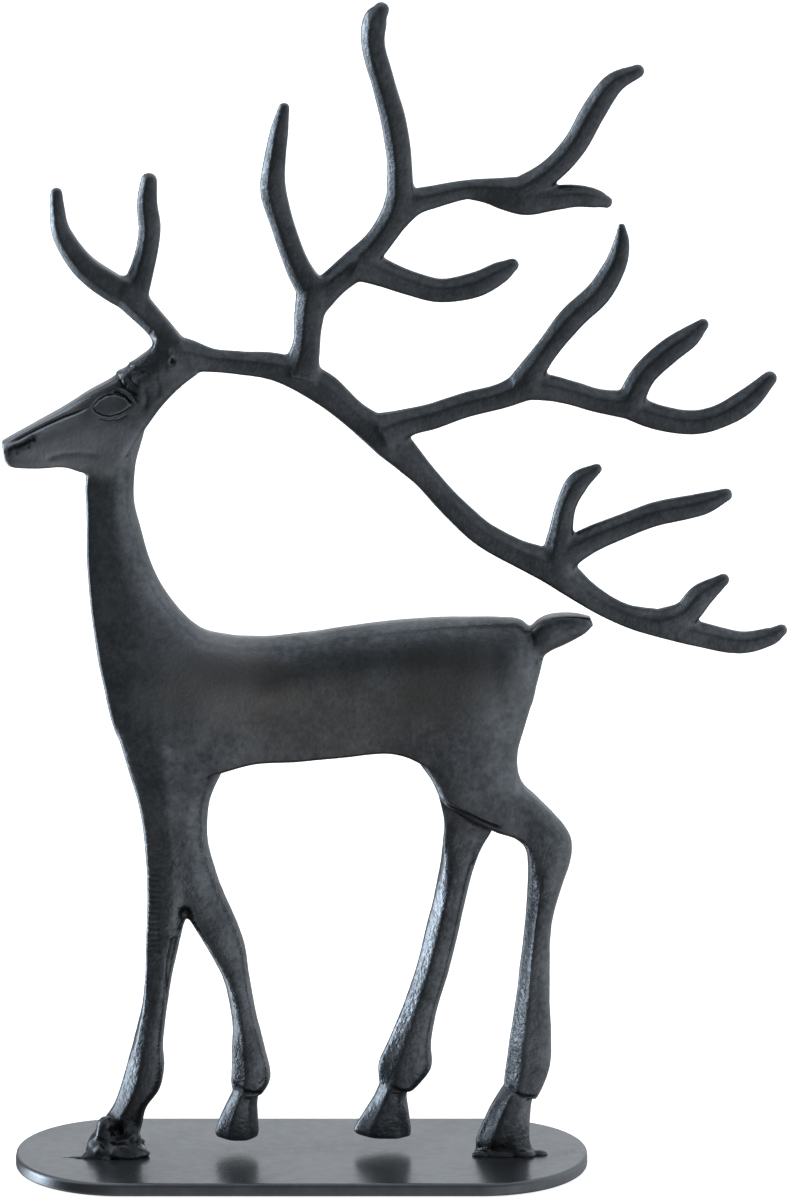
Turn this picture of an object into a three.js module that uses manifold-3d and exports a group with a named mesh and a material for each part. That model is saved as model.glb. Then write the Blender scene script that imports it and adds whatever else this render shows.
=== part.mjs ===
// A cast iron stag with branching antlers, standing on a thin oval plate.
// Millimetres, +Z up. The origin is the centre of the plate's underside.
// The stag faces -X, and its near side, with the set-back legs, faces -Y.
import * as THREE from "three";
import { mergeVertices } from "three/addons/utils/BufferGeometryUtils.js";
import Module from "manifold-3d";

// Base plate
const PLATE_LENGTH = 191;
const PLATE_WIDTH = 76;
const PLATE_THICKNESS = 4.5;
const PLATE_CORNER_RADIUS = 36;
const PLATE_EDGE_BEVEL = 0.6;
const PLATE_CORNER_STEPS = 8;

// Thickness of the casting from side to side
const TRUNK_THICKNESS = 30;
const NECK_THICKNESS = 17;
const HEAD_THICKNESS = 16;
const LEG_THICKNESS = 12;
const SHOULDER_THICKNESS = [21, LEG_THICKNESS];
const THIGH_THICKNESS = [22, LEG_THICKNESS];
const STIFLE_THICKNESS = [16, LEG_THICKNESS];
const HOOF_THICKNESS = 12.5;
const ANTLER_FLATNESS = 0.85;

// How far each leg stands off the middle plane, at the body and at the hoof
const NEAR_FORELEG_OFFSET = [-4, 1];
const FAR_FORELEG_OFFSET = [4, 0];
const NEAR_HINDLEG_OFFSET = [-3.5, -1];
const FAR_HINDLEG_OFFSET = [5, 4];

// The two welded feet end on the plate, and the two free hooves hang just above it
const PLATE_TOP = PLATE_THICKNESS;
const FREE_HOOF_BOTTOM = PLATE_TOP + 4;

// How finely the limbs are faceted
const ANTLER_SIDES = 8;
const LEG_SIDES = 12;
const BODY_SIDES = 16;
const ROUND = 2;
const SOFT = 2.6;
const SQUARE = 4;

const IRON_BLACK = 0x33373b;
const PLATE_BLACK = 0x3a3e42;

const wasm = await Module();
wasm.setup();

// Turns a closed three.js geometry into a solid that can be joined and cut.
function toSolid(geometry) {
  const bare = geometry.clone();
  bare.deleteAttribute("normal");
  bare.deleteAttribute("uv");
  const merged = mergeVertices(bare, 1e-4);
  return new wasm.Manifold(
    new wasm.Mesh({
      numProp: 3,
      vertProperties: new Float32Array(merged.attributes.position.array),
      triVerts: new Uint32Array(merged.index.array),
    }),
  );
}

function toGeometry(solid) {
  const mesh = solid.getMesh();
  const geometry = new THREE.BufferGeometry();
  geometry.setAttribute("position", new THREE.BufferAttribute(mesh.vertProperties, 3));
  geometry.setIndex(new THREE.BufferAttribute(mesh.triVerts, 1));
  return geometry;
}

function join(solids) {
  return solids.reduce((all, solid) => all.add(solid));
}

// The unit cross-section of a limb: ROUND gives an oval, SQUARE a flat bar with soft edges.
function sectionOutline(sides, squareness) {
  const reach = Math.cos(Math.PI / sides) ** (2 / squareness);
  const swell = (value) => (Math.sign(value) * Math.abs(value) ** (2 / squareness)) / reach;
  return Array.from({ length: sides }, (_, i) => {
    const angle = (2 * Math.PI * (i + 0.5)) / sides;
    return [swell(Math.cos(angle)), swell(Math.sin(angle))];
  });
}

// One ring of a limb. It spans the outline from `front` to `rear`, [x, z] each, and
// reaches half its thickness to either side of the plane y = offset.
function ringPoints(rib, outline) {
  return outline.map(([across, out]) => {
    const x = (rib.front[0] * (1 - across) + rib.rear[0] * (1 + across)) / 2;
    const z = (rib.front[1] * (1 - across) + rib.rear[1] * (1 + across)) / 2;
    return [x, rib.offset + (out * rib.thickness) / 2, z];
  });
}

// A closed skin over a row of rings, with flat ends.
function skin(rings) {
  const sides = rings[0].length;
  const last = rings.length - 1;
  const index = [];
  for (let r = 0; r < last; r++) {
    for (let s = 0; s < sides; s++) {
      const a = r * sides + s;
      const b = r * sides + ((s + 1) % sides);
      index.push(a, b, b + sides, a, b + sides, a + sides);
    }
  }
  for (let s = 1; s < sides - 1; s++) {
    index.push(0, s + 1, s);
    index.push(last * sides, last * sides + s, last * sides + s + 1);
  }
  const solid = solidFromRings(rings, index);
  return solid.volume() > 0 ? solid : solidFromRings(rings, index.reverse());
}

function solidFromRings(rings, index) {
  const geometry = new THREE.BufferGeometry();
  geometry.setAttribute("position", new THREE.Float32BufferAttribute(rings.flat(2), 3));
  geometry.setIndex(index);
  return toSolid(geometry);
}

// A smooth curve through rows of equal length, sampled `steps` times between rows.
function smoothRows(rows, steps) {
  const columns = rows[0].map((_, c) => rows.map((row) => row[c]));
  const samples = (rows.length - 1) * steps;
  const at = (column, t) => {
    const points = column.map((value) => new THREE.Vector3(value, 0, 0));
    return new THREE.CatmullRomCurve3(points, false, "catmullrom").getPoint(t).x;
  };
  return Array.from({ length: samples + 1 }, (_, i) =>
    columns.map((column) => at(column, i / samples)),
  );
}

// A body part drawn as ribs, [front x, front z, rear x, rear z, thickness, offset].
function ribbedBody(ribs, { sides = BODY_SIDES, squareness = SOFT, steps = 2 } = {}) {
  const outline = sectionOutline(sides, squareness);
  const rings = smoothRows(ribs, steps).map(([fx, fz, rx, rz, thickness, offset]) =>
    ringPoints({ front: [fx, fz], rear: [rx, rz], thickness, offset }, outline),
  );
  return skin(rings);
}

// Adds the thickness and the sideways offset to a leg's outline ribs, by their height:
// `thick` and `offset` are [at the body, at the hoof].
function legRibs(ribs, thick, offset) {
  const top = ribs[0][1];
  const bottom = ribs[ribs.length - 1][1];
  return ribs.map(([fx, fz, rx, rz]) => {
    const down = Math.sqrt((top - fz) / (top - bottom));
    const thickness = thick[0] + (thick[1] - thick[0]) * Math.min(1, down * 1.25);
    return [fx, fz, rx, rz, thickness, offset[0] + (offset[1] - offset[0]) * down];
  });
}

// Rings square to a centre line of [x, z, width] points, `flatness` times as thick as wide.
function ringsAlong(points, { steps = 1, flatness = 1, offset = 0 } = {}) {
  const rows = smoothRows(points, steps);
  const outline = sectionOutline(ANTLER_SIDES, ROUND);
  return rows.map(([x, z, width], i) => {
    const before = rows[Math.max(0, i - 1)];
    const after = rows[Math.min(rows.length - 1, i + 1)];
    const along = new THREE.Vector2(after[0] - before[0], after[1] - before[1]);
    along.setLength(width / 2);
    const front = [x - along.y, z + along.x];
    const rear = [x + along.y, z - along.x];
    return ringPoints({ front, rear, thickness: width * flatness, offset }, outline);
  });
}

// An antler limb from root to tip, with two small last rings that make its tip blunt.
function antlerLimb(bends, steps = 1) {
  const [x, z, width] = bends[bends.length - 1];
  const [fromX, fromZ] = bends[bends.length - 2];
  const along = new THREE.Vector2(x - fromX, z - fromZ).setLength(width);
  const rounding = [[0.32, 0.78], [0.55, 0.36]].map(([reach, share]) => [
    x + along.x * reach,
    z + along.y * reach,
    width * share,
  ]);
  const body = ringsAlong(bends, { steps, flatness: ANTLER_FLATNESS });
  const tip = ringsAlong([bends[bends.length - 1], ...rounding], { flatness: ANTLER_FLATNESS });
  return skin([...body.slice(0, -1), ...tip]);
}

function legSolid(ribs, squareness) {
  return ribbedBody(ribs, { sides: LEG_SIDES, squareness, steps: 1 });
}

// The same shape at both side faces of the head: `reach` is its distance from the middle plane.
function onBothSides(make, reach) {
  return join([make(reach), make(-reach)]);
}

// An almond seen from the side, such as an eye, centred on the plane y = offset.
function almond(center, length, height, thickness, offset) {
  const shares = [-0.5, -0.38, -0.2, 0, 0.2, 0.38, 0.5];
  const ribs = shares.map((share) => {
    const x = center[0] + share * length;
    const half = (height / 2) * Math.cos(Math.PI * share * 0.96);
    return [x, center[1] + half, x, center[1] - half, thickness, offset];
  });
  return ribbedBody(ribs, { sides: ANTLER_SIDES, squareness: ROUND, steps: 1 });
}

// A shallow furrow along [x, z, width] points on one side face.
function furrow(points, offset) {
  return skin(ringsAlong(points, { offset }));
}

function buildHead() {
  const slab = ribbedBody(
    [
      [-97.4, 246.5, -96.4, 240.5, 7, 0],
      [-93, 249, -93.8, 238.6, 12, 0],
      [-85.5, 253.2, -85.5, 238.2, 14, 0],
      [-77.3, 257.8, -77, 238.7, HEAD_THICKNESS - 1, 0],
      [-68.7, 263.2, -70.5, 237, HEAD_THICKNESS, 0],
      [-60.7, 267.8, -61.5, 236, HEAD_THICKNESS + 1, 0],
      [-54.6, 272.8, -50, 252, HEAD_THICKNESS + 1, 0],
      [-48.6, 277.4, -45, 258.8, HEAD_THICKNESS - 1, 0],
      [-45.5, 282.4, -39.4, 264.6, HEAD_THICKNESS - 4, 0],
      [-38.4, 279, -33, 269.6, 9, 0],
    ],
    { sides: LEG_SIDES, squareness: SQUARE },
  );
  const eye = [-61, 258];
  const face = HEAD_THICKNESS / 2 + 0.4;
  const sockets = onBothSides((y) => almond(eye, 17.5, 10.5, 2.4, y), face);
  const eyeballs = onBothSides((y) => almond(eye, 14.5, 7.5, 3, y), face - 0.9);
  const bridge = onBothSides(
    (y) => furrow([[-95, 245.5, 1.6], [-86, 250.5, 2], [-77, 255, 2], [-70, 258.5, 1.4]], y),
    HEAD_THICKNESS / 2 - 0.8,
  );
  const brow = onBothSides(
    (y) => furrow([[-59.5, 268, 1.4], [-57.5, 264.5, 2], [-53.5, 262, 2], [-50, 259, 1.2]], y),
    face,
  );
  const cheek = onBothSides(
    (y) => furrow([[-82, 240.5, 1.2], [-74, 242, 1.6], [-66, 241, 1.2]], y),
    HEAD_THICKNESS / 2,
  );
  return slab.subtract(join([sockets, bridge, brow, cheek])).add(eyeballs);
}

function buildNeckAndTrunk() {
  const trunk = ribbedBody([
    [-64, 252, -50, 252.5, NECK_THICKNESS - 1, 0],
    [-69.5, 236, -53.5, 240, NECK_THICKNESS - 0.5, 0],
    [-69.8, 225.5, -54.4, 227.5, NECK_THICKNESS, 0],
    [-69.8, 213.5, -51.8, 216, NECK_THICKNESS + 1, 0],
    [-69.4, 200, -48.3, 204.3, NECK_THICKNESS + 2.5, 0],
    [-67.8, 184.5, -42.9, 194.2, NECK_THICKNESS + 5, 0],
    [-65, 167.5, -33.2, 184, NECK_THICKNESS + 8, 0],
    [-60.2, 149, -23, 181.3, TRUNK_THICKNESS - 2, 0],
    [-50, 136, -14.5, 180.8, TRUNK_THICKNESS, 0],
    [-38, 133, -5, 181.3, TRUNK_THICKNESS, 0],
    [-26, 136.8, 1, 182, TRUNK_THICKNESS, 0],
    [-15, 139.7, 7, 182.8, TRUNK_THICKNESS, 0],
    [-1.5, 140.5, 14.5, 184, TRUNK_THICKNESS, 0],
    [14.5, 142, 25.5, 185.6, TRUNK_THICKNESS, 0],
    [30, 143.2, 36, 186.6, TRUNK_THICKNESS, 0],
    [41, 139, 46.5, 187.3, TRUNK_THICKNESS, 0],
    [50.5, 131, 57.5, 187.4, TRUNK_THICKNESS - 0.5, 0],
    [60, 131, 68.5, 187.2, TRUNK_THICKNESS - 2, 0],
    [68, 146, 75.5, 185.2, TRUNK_THICKNESS - 7, 0],
  ]);
  const tail = ribbedBody(
    [
      [70, 186, 74, 172, 14, 0],
      [77, 186.2, 82, 175.8, 12, 0],
      [82.5, 187.9, 87.5, 178.2, 11, 0],
      [90, 188.2, 93.6, 181.7, 8.5, 0],
      [94.8, 187.6, 96.5, 184.4, 5, 0],
    ],
    { sides: LEG_SIDES, steps: 1 },
  );
  return join([trunk, tail]);
}

function buildForelegs() {
  const near = [
    [-46, 147, -20.5, 146],
    [-46, 135, -25, 137.5],
    [-45.5, 123, -29.9, 126.5],
    [-45, 111, -30.8, 113],
    [-43.5, 100, -28.4, 102],
    [-40, 90, -24.7, 92],
    [-35.6, 82, -21.1, 83.5],
    [-30.7, 73.5, -18.6, 75],
    [-26.8, 65, -17.3, 65.7],
    [-24.4, 57, -15.9, 57],
    [-23, 48.2, -14.2, 48.2],
    [-23.3, 39, -12, 39],
    [-23.4, 32, -10.3, 32],
    [-23.5, 27.5, -10.8, 28],
    [-22.8, 24.5, -13, 24.5],
  ];
  const nearHoof = [
    [-23, 25.5, -14.2, 24.5],
    [-25.2, 20.8, -14.6, 20.8],
    [-27.4, 16, -14.4, 16],
    [-29, 11, -14.2, 11],
    [-28.4, FREE_HOOF_BOTTOM + 0.5, -14.8, FREE_HOOF_BOTTOM + 0.5],
  ];
  const far = [
    [-60, 150, -36.6, 145],
    [-56.8, 137, -36.7, 131],
    [-52.8, 122.7, -36.8, 119.5],
    [-51.2, 107.3, -36.8, 105.5],
    [-50.9, 93.5, -37, 92],
    [-51.3, 79.8, -39.6, 80.2],
    [-51.8, 67.5, -42.6, 67],
    [-53, 55.5, -44.6, 55],
    [-55.8, 43.5, -46, 42.5],
    [-58, 35.5, -45.7, 34],
    [-60.4, 27, -47.2, 26.5],
    [-63.1, 20, -51.7, 20],
    [-67.2, 14, -53.2, 14],
    [-70.5, 9, -54.4, 9],
    [-71, PLATE_TOP, -54.6, PLATE_TOP],
  ];
  const nearSide = legRibs(near, SHOULDER_THICKNESS, NEAR_FORELEG_OFFSET);
  const nearFoot = nearHoof.map((rib) => [...rib, HOOF_THICKNESS - 1.5, NEAR_FORELEG_OFFSET[1]]);
  const farSide = legRibs(far, SHOULDER_THICKNESS, FAR_FORELEG_OFFSET);
  return join([
    legSolid(nearSide, SOFT),
    legSolid(nearFoot, ROUND),
    legSolid(farSide, SOFT),
  ]);
}

function buildHindlegs() {
  const near = [
    [36, 152, 80, 174.5],
    [38.5, 141, 77.8, 164.5],
    [43, 134, 74.2, 152],
    [47, 126, 71.7, 142],
    [52.5, 122.6, 73, 132],
    [58, 119, 78.4, 126.2],
    [64.5, 116, 83.3, 121.5],
    [70.2, 114.2, 87.3, 117],
    [74, 110.5, 89.7, 112],
    [75.1, 104, 89.2, 105],
    [74.9, 95.7, 86.2, 95.7],
    [74.3, 83.7, 83.3, 83.7],
    [72.9, 71.6, 82.7, 71.6],
    [71.4, 58, 82.7, 58],
    [69.3, 44, 83.2, 44],
    [68.3, 35.5, 83, 35.5],
    [67.6, 30, 81.4, 29.5],
    [67.3, 26.5, 78.6, 23.5],
  ];
  const nearHoof = [
    [66.8, 27, 77.4, 24.5],
    [64.2, 22.5, 76.7, 20.8],
    [61.2, 16.8, 76.4, 16],
    [58.2, 9.5, 76.2, 9.5],
    [58, 6.5, 76.8, 6.5],
    [58, PLATE_TOP, 77.5, PLATE_TOP],
  ];
  const far = [
    [43, 134, 66, 124],
    [47.2, 119, 64, 115.2],
    [47, 108.7, 59.2, 106.4],
    [44.8, 95, 55.3, 93.3],
    [41.7, 81.3, 52.4, 79.6],
    [38.3, 67.5, 49.1, 65.7],
    [34.5, 55.3, 45.2, 52.8],
    [29.6, 43.2, 43.4, 41.4],
    [25.8, 34.5, 43.6, 34],
    [25.6, 29.5, 42.2, 30.3],
    [26, 26, 37.4, 24.7],
  ];
  const farHoof = [
    [26, 27, 36, 25.5],
    [23.9, 22.3, 35.2, 22.3],
    [20.5, 16.7, 35.9, 16.7],
    [17.3, 11, 36.6, 10.8],
    [18.5, FREE_HOOF_BOTTOM + 0.5, 36.4, FREE_HOOF_BOTTOM],
  ];
  const nearSide = legRibs(near, THIGH_THICKNESS, NEAR_HINDLEG_OFFSET);
  const nearFoot = nearHoof.map((rib) => [...rib, HOOF_THICKNESS, NEAR_HINDLEG_OFFSET[1]]);
  const farSide = legRibs(far, STIFLE_THICKNESS, FAR_HINDLEG_OFFSET);
  const farFoot = farHoof.map((rib) => [...rib, HOOF_THICKNESS - 1.5, FAR_HINDLEG_OFFSET[1]]);
  return join([
    legSolid(nearSide, SOFT),
    legSolid(nearFoot, ROUND),
    legSolid(farSide, SOFT),
    legSolid(farFoot, ROUND),
  ]);
}

// A lump of weld metal round a foot: rings that close in from the plate upwards.
function weldBead(center, reach, height) {
  const ribs = [[0, 1], [0.25, 0.97], [0.6, 0.82], [1, 0.5]].map(([rise, share]) => {
    const z = PLATE_TOP + rise * height;
    const half = reach[0] * share;
    return [center[0] - half, z, center[0] + half, z, 2 * reach[1] * share, center[1]];
  });
  return ribbedBody(ribs, { sides: LEG_SIDES, squareness: ROUND, steps: 1 });
}

function buildAntlers() {
  const mainBeam = [
    [-42, 275, 15], [-36, 275, 10.5], [-28, 273.4, 7.3], [-18, 272.5, 7.5], [-6, 270.8, 9],
    [7, 264.6, 10.2], [18, 255.2, 8.6], [29.5, 246.5, 11], [39.8, 235.9, 7.9],
    [47.8, 227, 7.6], [58.8, 216.4, 8], [70.4, 209.6, 8.4], [83, 204, 10.5],
    [94.6, 195, 7.8], [106.2, 188.4, 7], [119, 185.2, 8.8], [132, 181.5, 7.9],
    [145, 179, 7.1], [154.3, 180.8, 5.7], [158.3, 183, 3.9],
  ];
  const frontFork = [
    [[-42, 278, 10], [-45.6, 284, 7.8], [-52, 291.2, 8.8], [-56.5, 296, 10]],
    [[-53, 293.5, 9], [-61.5, 298.1, 8.9], [-70.8, 305.5, 7.8], [-77.1, 315.5, 6.2],
      [-78.5, 324, 4.6], [-78.7, 328.6, 3.6]],
    [[-54.5, 293.5, 10], [-50.6, 305, 7.4], [-48.5, 316, 7], [-49.2, 325, 6.6],
      [-48.6, 332.6, 5.2]],
  ];
  const topCrown = [
    [[0, 268.5, 13], [2.4, 278.5, 8.8], [3.3, 288.5, 9.5], [4.5, 296, 10.5]],
    [[5, 295, 9.5], [-0.7, 305.3, 7.8], [-5, 317.5, 7.5], [-8.2, 329.5, 8.1], [-7.7, 339.6, 6.9],
      [-6.2, 349.2, 5.7], [-4.7, 356.5, 3.7]],
    [[4.5, 292.5, 10], [11.8, 299.6, 8.8], [18.8, 305.6, 9.4], [25.4, 312.4, 8.4],
      [31, 321, 9], [33.3, 329, 8.5]],
    [[33, 327, 8.5], [32.7, 339.6, 7.9], [30.8, 352.5, 8], [27.3, 365.5, 7.3], [24.2, 377.2, 7.5],
      [24.9, 385, 7.6], [26.8, 388.5, 5]],
    [[18.5, 306, 11], [27.3, 302.4, 8.8], [35.6, 299.2, 7.7], [45.9, 296.6, 7.5],
      [57.1, 298.4, 7.9], [65.1, 302.4, 6.9], [69.3, 305, 4.2]],
    [[29, 318, 8.6], [36.5, 325.2, 8.3], [44.6, 327.7, 7], [55.6, 330, 6],
      [65.3, 329.8, 7.4], [73, 329.6, 9]],
    [[71.5, 329, 9], [81.5, 335.7, 7.6], [89.8, 344.8, 7.7], [95.5, 355.4, 7.6],
      [101.8, 364.4, 6.7], [109.6, 368.6, 4.2]],
    [[69, 328, 9.5], [75.5, 326.6, 9.2], [83, 327.2, 7.8], [90, 327.8, 7], [96.2, 327, 5.9],
      [99.8, 325.8, 3.8]],
  ];
  const middleCrown = [
    [[27, 249.5, 13], [34.5, 252.6, 9], [43.5, 254.9, 8.2], [55, 258.8, 7.8],
      [66.2, 261.8, 8], [75, 265.8, 10]],
    [[71.8, 264, 9.5], [80.6, 276.6, 7.3], [88.4, 286.9, 8], [97.4, 295.7, 7.7],
      [103.8, 306.8, 5.7], [105, 316.6, 4.2]],
    [[70, 265, 9], [79.8, 264.6, 8.5], [89.4, 262.4, 7.5], [97.5, 260, 7.4], [108, 258.6, 9]],
    [[107, 257.5, 9], [112.4, 268.5, 7.8], [120.2, 276.2, 7.8], [127.2, 281.2, 6.7],
      [131.6, 285.2, 3.8]],
    [[105, 259.6, 8.5], [116, 254.8, 8], [127.7, 252.8, 7.6], [136.8, 254.6, 7.5],
      [146, 260, 7.6], [153.5, 267.4, 4.6]],
  ];
  const lowerCrown = [
    [[83.5, 203, 11], [85.6, 215.5, 7.8], [87.4, 225, 6.5], [91.2, 232.7, 6.9], [97.2, 237.2, 3.5]],
    [[82, 204.5, 10], [93.8, 212.8, 8.6], [105.8, 218, 7.6], [117, 222.3, 7.6],
      [131.2, 225.3, 7.1], [139.6, 228.5, 4]],
    [[118.5, 185.5, 9], [126.6, 188.6, 8.2], [131.9, 194.6, 7.8], [139.1, 200, 3.8]],
  ];
  const limbs = [frontFork, topCrown, middleCrown, lowerCrown].flat();
  return join([antlerLimb(mainBeam, 2), ...limbs.map((bends) => antlerLimb(bends))]);
}

function buildStag() {
  return join([
    buildNeckAndTrunk(),
    buildHead(),
    buildForelegs(),
    buildHindlegs(),
    weldBead([-61.5, -1], [12, 8.5], 5),
    weldBead([68, -1], [11, 7.6], 2.5),
    buildAntlers(),
  ]);
}

function buildPlate() {
  const halfLength = PLATE_LENGTH / 2;
  const halfWidth = PLATE_WIDTH / 2;
  const radius = PLATE_CORNER_RADIUS;
  const outline = new THREE.Shape();
  outline.absarc(halfLength - radius, halfWidth - radius, radius, 0, Math.PI / 2);
  outline.absarc(radius - halfLength, halfWidth - radius, radius, Math.PI / 2, Math.PI);
  outline.absarc(radius - halfLength, radius - halfWidth, radius, Math.PI, 1.5 * Math.PI);
  outline.absarc(halfLength - radius, radius - halfWidth, radius, 1.5 * Math.PI, 2 * Math.PI);
  const slab = new THREE.ExtrudeGeometry(outline, {
    depth: PLATE_THICKNESS - 2 * PLATE_EDGE_BEVEL,
    bevelEnabled: true,
    bevelThickness: PLATE_EDGE_BEVEL,
    bevelSize: PLATE_EDGE_BEVEL,
    bevelOffset: -PLATE_EDGE_BEVEL,
    bevelSegments: 1,
    curveSegments: PLATE_CORNER_STEPS,
  });
  slab.translate(0, 0, PLATE_EDGE_BEVEL);
  return slab;
}

function ironMesh(name, geometry, color, roughness) {
  const material = new THREE.MeshStandardMaterial({ color, roughness, metalness: 0.6 });
  const mesh = new THREE.Mesh(geometry, material);
  mesh.name = name;
  return mesh;
}

const group = new THREE.Group();
group.add(ironMesh("base_plate", buildPlate(), PLATE_BLACK, 0.42));
group.add(ironMesh("stag", toGeometry(buildStag()), IRON_BLACK, 0.48));

export default group;
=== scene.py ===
"""A cast iron stag with branching antlers on a thin oval plate, dressed for the studio.

Metres, +Z up. The origin is the centre of the plate's underside. The stag faces -X, and
its near side, with the set-back legs, faces -Y. The tables that draw the casting are in
millimetres, the same stations that the solids are lofted from, and a Ring turns them
into metres.
"""

import logging
import math
from dataclasses import dataclass, field
from enum import Enum
from typing import Sequence

import bmesh
import bpy
import numpy as np
from mathutils import Matrix, Vector, noise


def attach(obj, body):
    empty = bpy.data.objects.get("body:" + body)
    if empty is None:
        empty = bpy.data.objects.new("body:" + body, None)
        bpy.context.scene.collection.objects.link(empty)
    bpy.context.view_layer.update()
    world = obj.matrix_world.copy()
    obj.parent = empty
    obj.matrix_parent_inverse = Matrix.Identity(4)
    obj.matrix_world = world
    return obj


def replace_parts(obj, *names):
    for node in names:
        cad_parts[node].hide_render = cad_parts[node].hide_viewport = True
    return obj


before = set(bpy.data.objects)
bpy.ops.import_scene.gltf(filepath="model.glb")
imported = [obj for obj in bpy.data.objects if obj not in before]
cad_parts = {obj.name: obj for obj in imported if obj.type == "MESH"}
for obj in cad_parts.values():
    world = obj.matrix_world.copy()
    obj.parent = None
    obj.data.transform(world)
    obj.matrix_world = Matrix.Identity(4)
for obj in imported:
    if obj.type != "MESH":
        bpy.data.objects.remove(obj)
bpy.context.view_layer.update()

log = logging.getLogger("stag")

MM = 0.001

PLATE_TOP = 4.5
FREE_HOOF_BOTTOM = PLATE_TOP + 4.0
WELD_SINK = 0.6
WEAR_ALLOWANCE = 0.3
RIDGE_CRISPNESS = 18.0
# Painted shade laid in the cut lines, pits and hollows, kept on the mesh for the finish to read.
GROOVE_SHADE_ATTRIBUTE = "painted_groove_shade"
COARSE_ATTRIBUTE = "coarse_cast"

Point = tuple[float, float]
Place = tuple[float, float, float]
Color = tuple[float, float, float, float]
Table = Sequence[Sequence[float]]


class Section(Enum):
    """Cross-sections of the casting.

    Each holds how square its front half and its rear half are, and the flats that cut it. A
    flat is (across, out, distance): its normal in the unit section, and how far out it is.
    """

    OVAL = (2.4, 2.0, ())
    SOFT = (4.0, 2.4, ())
    BREAST = (10.0, 2.4, ((-0.2, 0.98, 0.94),))
    FLANK = (16.0, 2.2, ((-0.2, 0.98, 0.94),))
    FACE = (8.0, 8.0, ((-0.5, 0.866, 0.98),))
    LIMB = (4.0, 4.5, ((-0.75, 0.66, 0.88),))
    SHIN = (4.0, 3.4, ((-0.73, 0.685, 0.87), (0.857, 0.514, 1.114)))
    HOOF = (5.0, 5.0, ((-0.8, 0.6, 0.88), (0.85, 0.53, 0.96)))

    def reach(self, angle: float) -> float:
        """How far the outline lies from its middle in one direction.

        Args:
            angle: Direction in the section, from its rear edge, in radians.

        Returns:
            The distance in units of the section's half width.
        """
        front, rear, flats = self.value
        across, out = math.cos(angle), abs(math.sin(angle))
        squareness = front if across < 0 else rear
        shares = [(abs(across) ** squareness + out**squareness) ** (1 / squareness)]
        shares += [(nx * across + ny * out) / distance for nx, ny, distance in flats]
        return sum(max(0.0, share) ** RIDGE_CRISPNESS for share in shares) ** (-1 / RIDGE_CRISPNESS)


@dataclass(frozen=True)
class Ring:
    """One cross-section of a limb, from its front edge to its rear edge, in millimetres."""

    front: Point
    rear: Point
    thickness: float
    offset: float = 0.0
    crisp: float = 1.0

    def matrix(self) -> Matrix:
        """The matrix that lays a unit circle in this cross-section, in metres."""
        middle = [(a + b) / 2 for a, b in zip(self.front, self.rear)]
        half = [(b - a) / 2 for a, b in zip(self.front, self.rear)]
        rows = (
            (half[0], 0.0, 0.0, middle[0]),
            (0.0, self.thickness / 2, 0.0, self.offset),
            (half[1], 0.0, 1.0, middle[1]),
            (0.0, 0.0, 0.0, 1 / MM),
        )
        return Matrix(rows) * MM


def smooth_rows(rows: Table, steps: int) -> np.ndarray:
    """Samples a smooth curve through rows of numbers.

    Args:
        rows: Stations of equal length, in order.
        steps: How many samples to take from one station to the next.

    Returns:
        One row for each sample, the first and last stations included.
    """
    table = np.array(rows, float)
    padded = np.vstack([2 * table[0] - table[1], table, 2 * table[-1] - table[-2]])
    samples = []
    for a, b, c, d in zip(padded, padded[1:], padded[2:], padded[3:]):
        for t in np.arange(steps) / steps:
            bend = (2 * a - 5 * b + 4 * c - d) * t**2 + (3 * b - a - 3 * c + d) * t**3
            samples.append((2 * b + (c - a) * t + bend) / 2)
    return np.vstack([*samples, table[-1]])


def loft(
    rings: Sequence[Ring], sides: int, outline: Section, upper: Section | None = None
) -> bmesh.types.BMesh:
    """Bridges a row of rings into one closed shell.

    Args:
        rings: Cross-sections in order.
        sides: How many sides each ring has.
        outline: The outline of a ring whose crisp is 1.
        upper: The outline of a ring whose crisp is 0, where that is another one.

    Returns:
        The shell, in metres.
    """
    upper = upper or outline
    shell = bmesh.new()
    previous: list[bmesh.types.BMEdge] = []
    for ring in rings:
        verts = bmesh.ops.create_circle(shell, segments=sides, radius=1.0)["verts"]
        for vert in verts:
            angle = math.atan2(vert.co.y, vert.co.x)
            vert.co *= (1 - ring.crisp) * upper.reach(angle) + ring.crisp * outline.reach(angle)
        bmesh.ops.transform(shell, matrix=ring.matrix(), verts=verts)
        edges = list({edge for vert in verts for edge in vert.link_edges})
        if previous:
            bmesh.ops.bridge_loops(shell, edges=previous + edges)
        previous = edges
    bmesh.ops.holes_fill(shell, edges=shell.edges, sides=sides)
    bmesh.ops.recalc_face_normals(shell, faces=shell.faces)
    return shell


def make_mesh(name: str, shape: bmesh.types.BMesh) -> bpy.types.Mesh:
    """Turns a shape into a mesh, and frees the shape."""
    mesh = bpy.data.meshes.new(name)
    shape.to_mesh(mesh)
    shape.free()
    return mesh


def put_in_scene(name: str, data: bpy.types.ID) -> bpy.types.Object:
    """Puts a mesh or a camera in the scene, at the origin."""
    thing = bpy.data.objects.new(name, data)
    bpy.context.scene.collection.objects.link(thing)
    return thing


def settle(carrier: bpy.types.Object, name: str) -> bpy.types.Mesh:
    """Makes a mesh of a carrier's shape with its modifiers applied, and removes the carrier."""
    graph = bpy.context.evaluated_depsgraph_get()
    graph.update()
    mesh = bpy.data.meshes.new_from_object(carrier.evaluated_get(graph), depsgraph=graph)
    mesh.name = name
    raw = carrier.data
    bpy.data.objects.remove(carrier)
    bpy.data.meshes.remove(raw)
    return mesh


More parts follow.
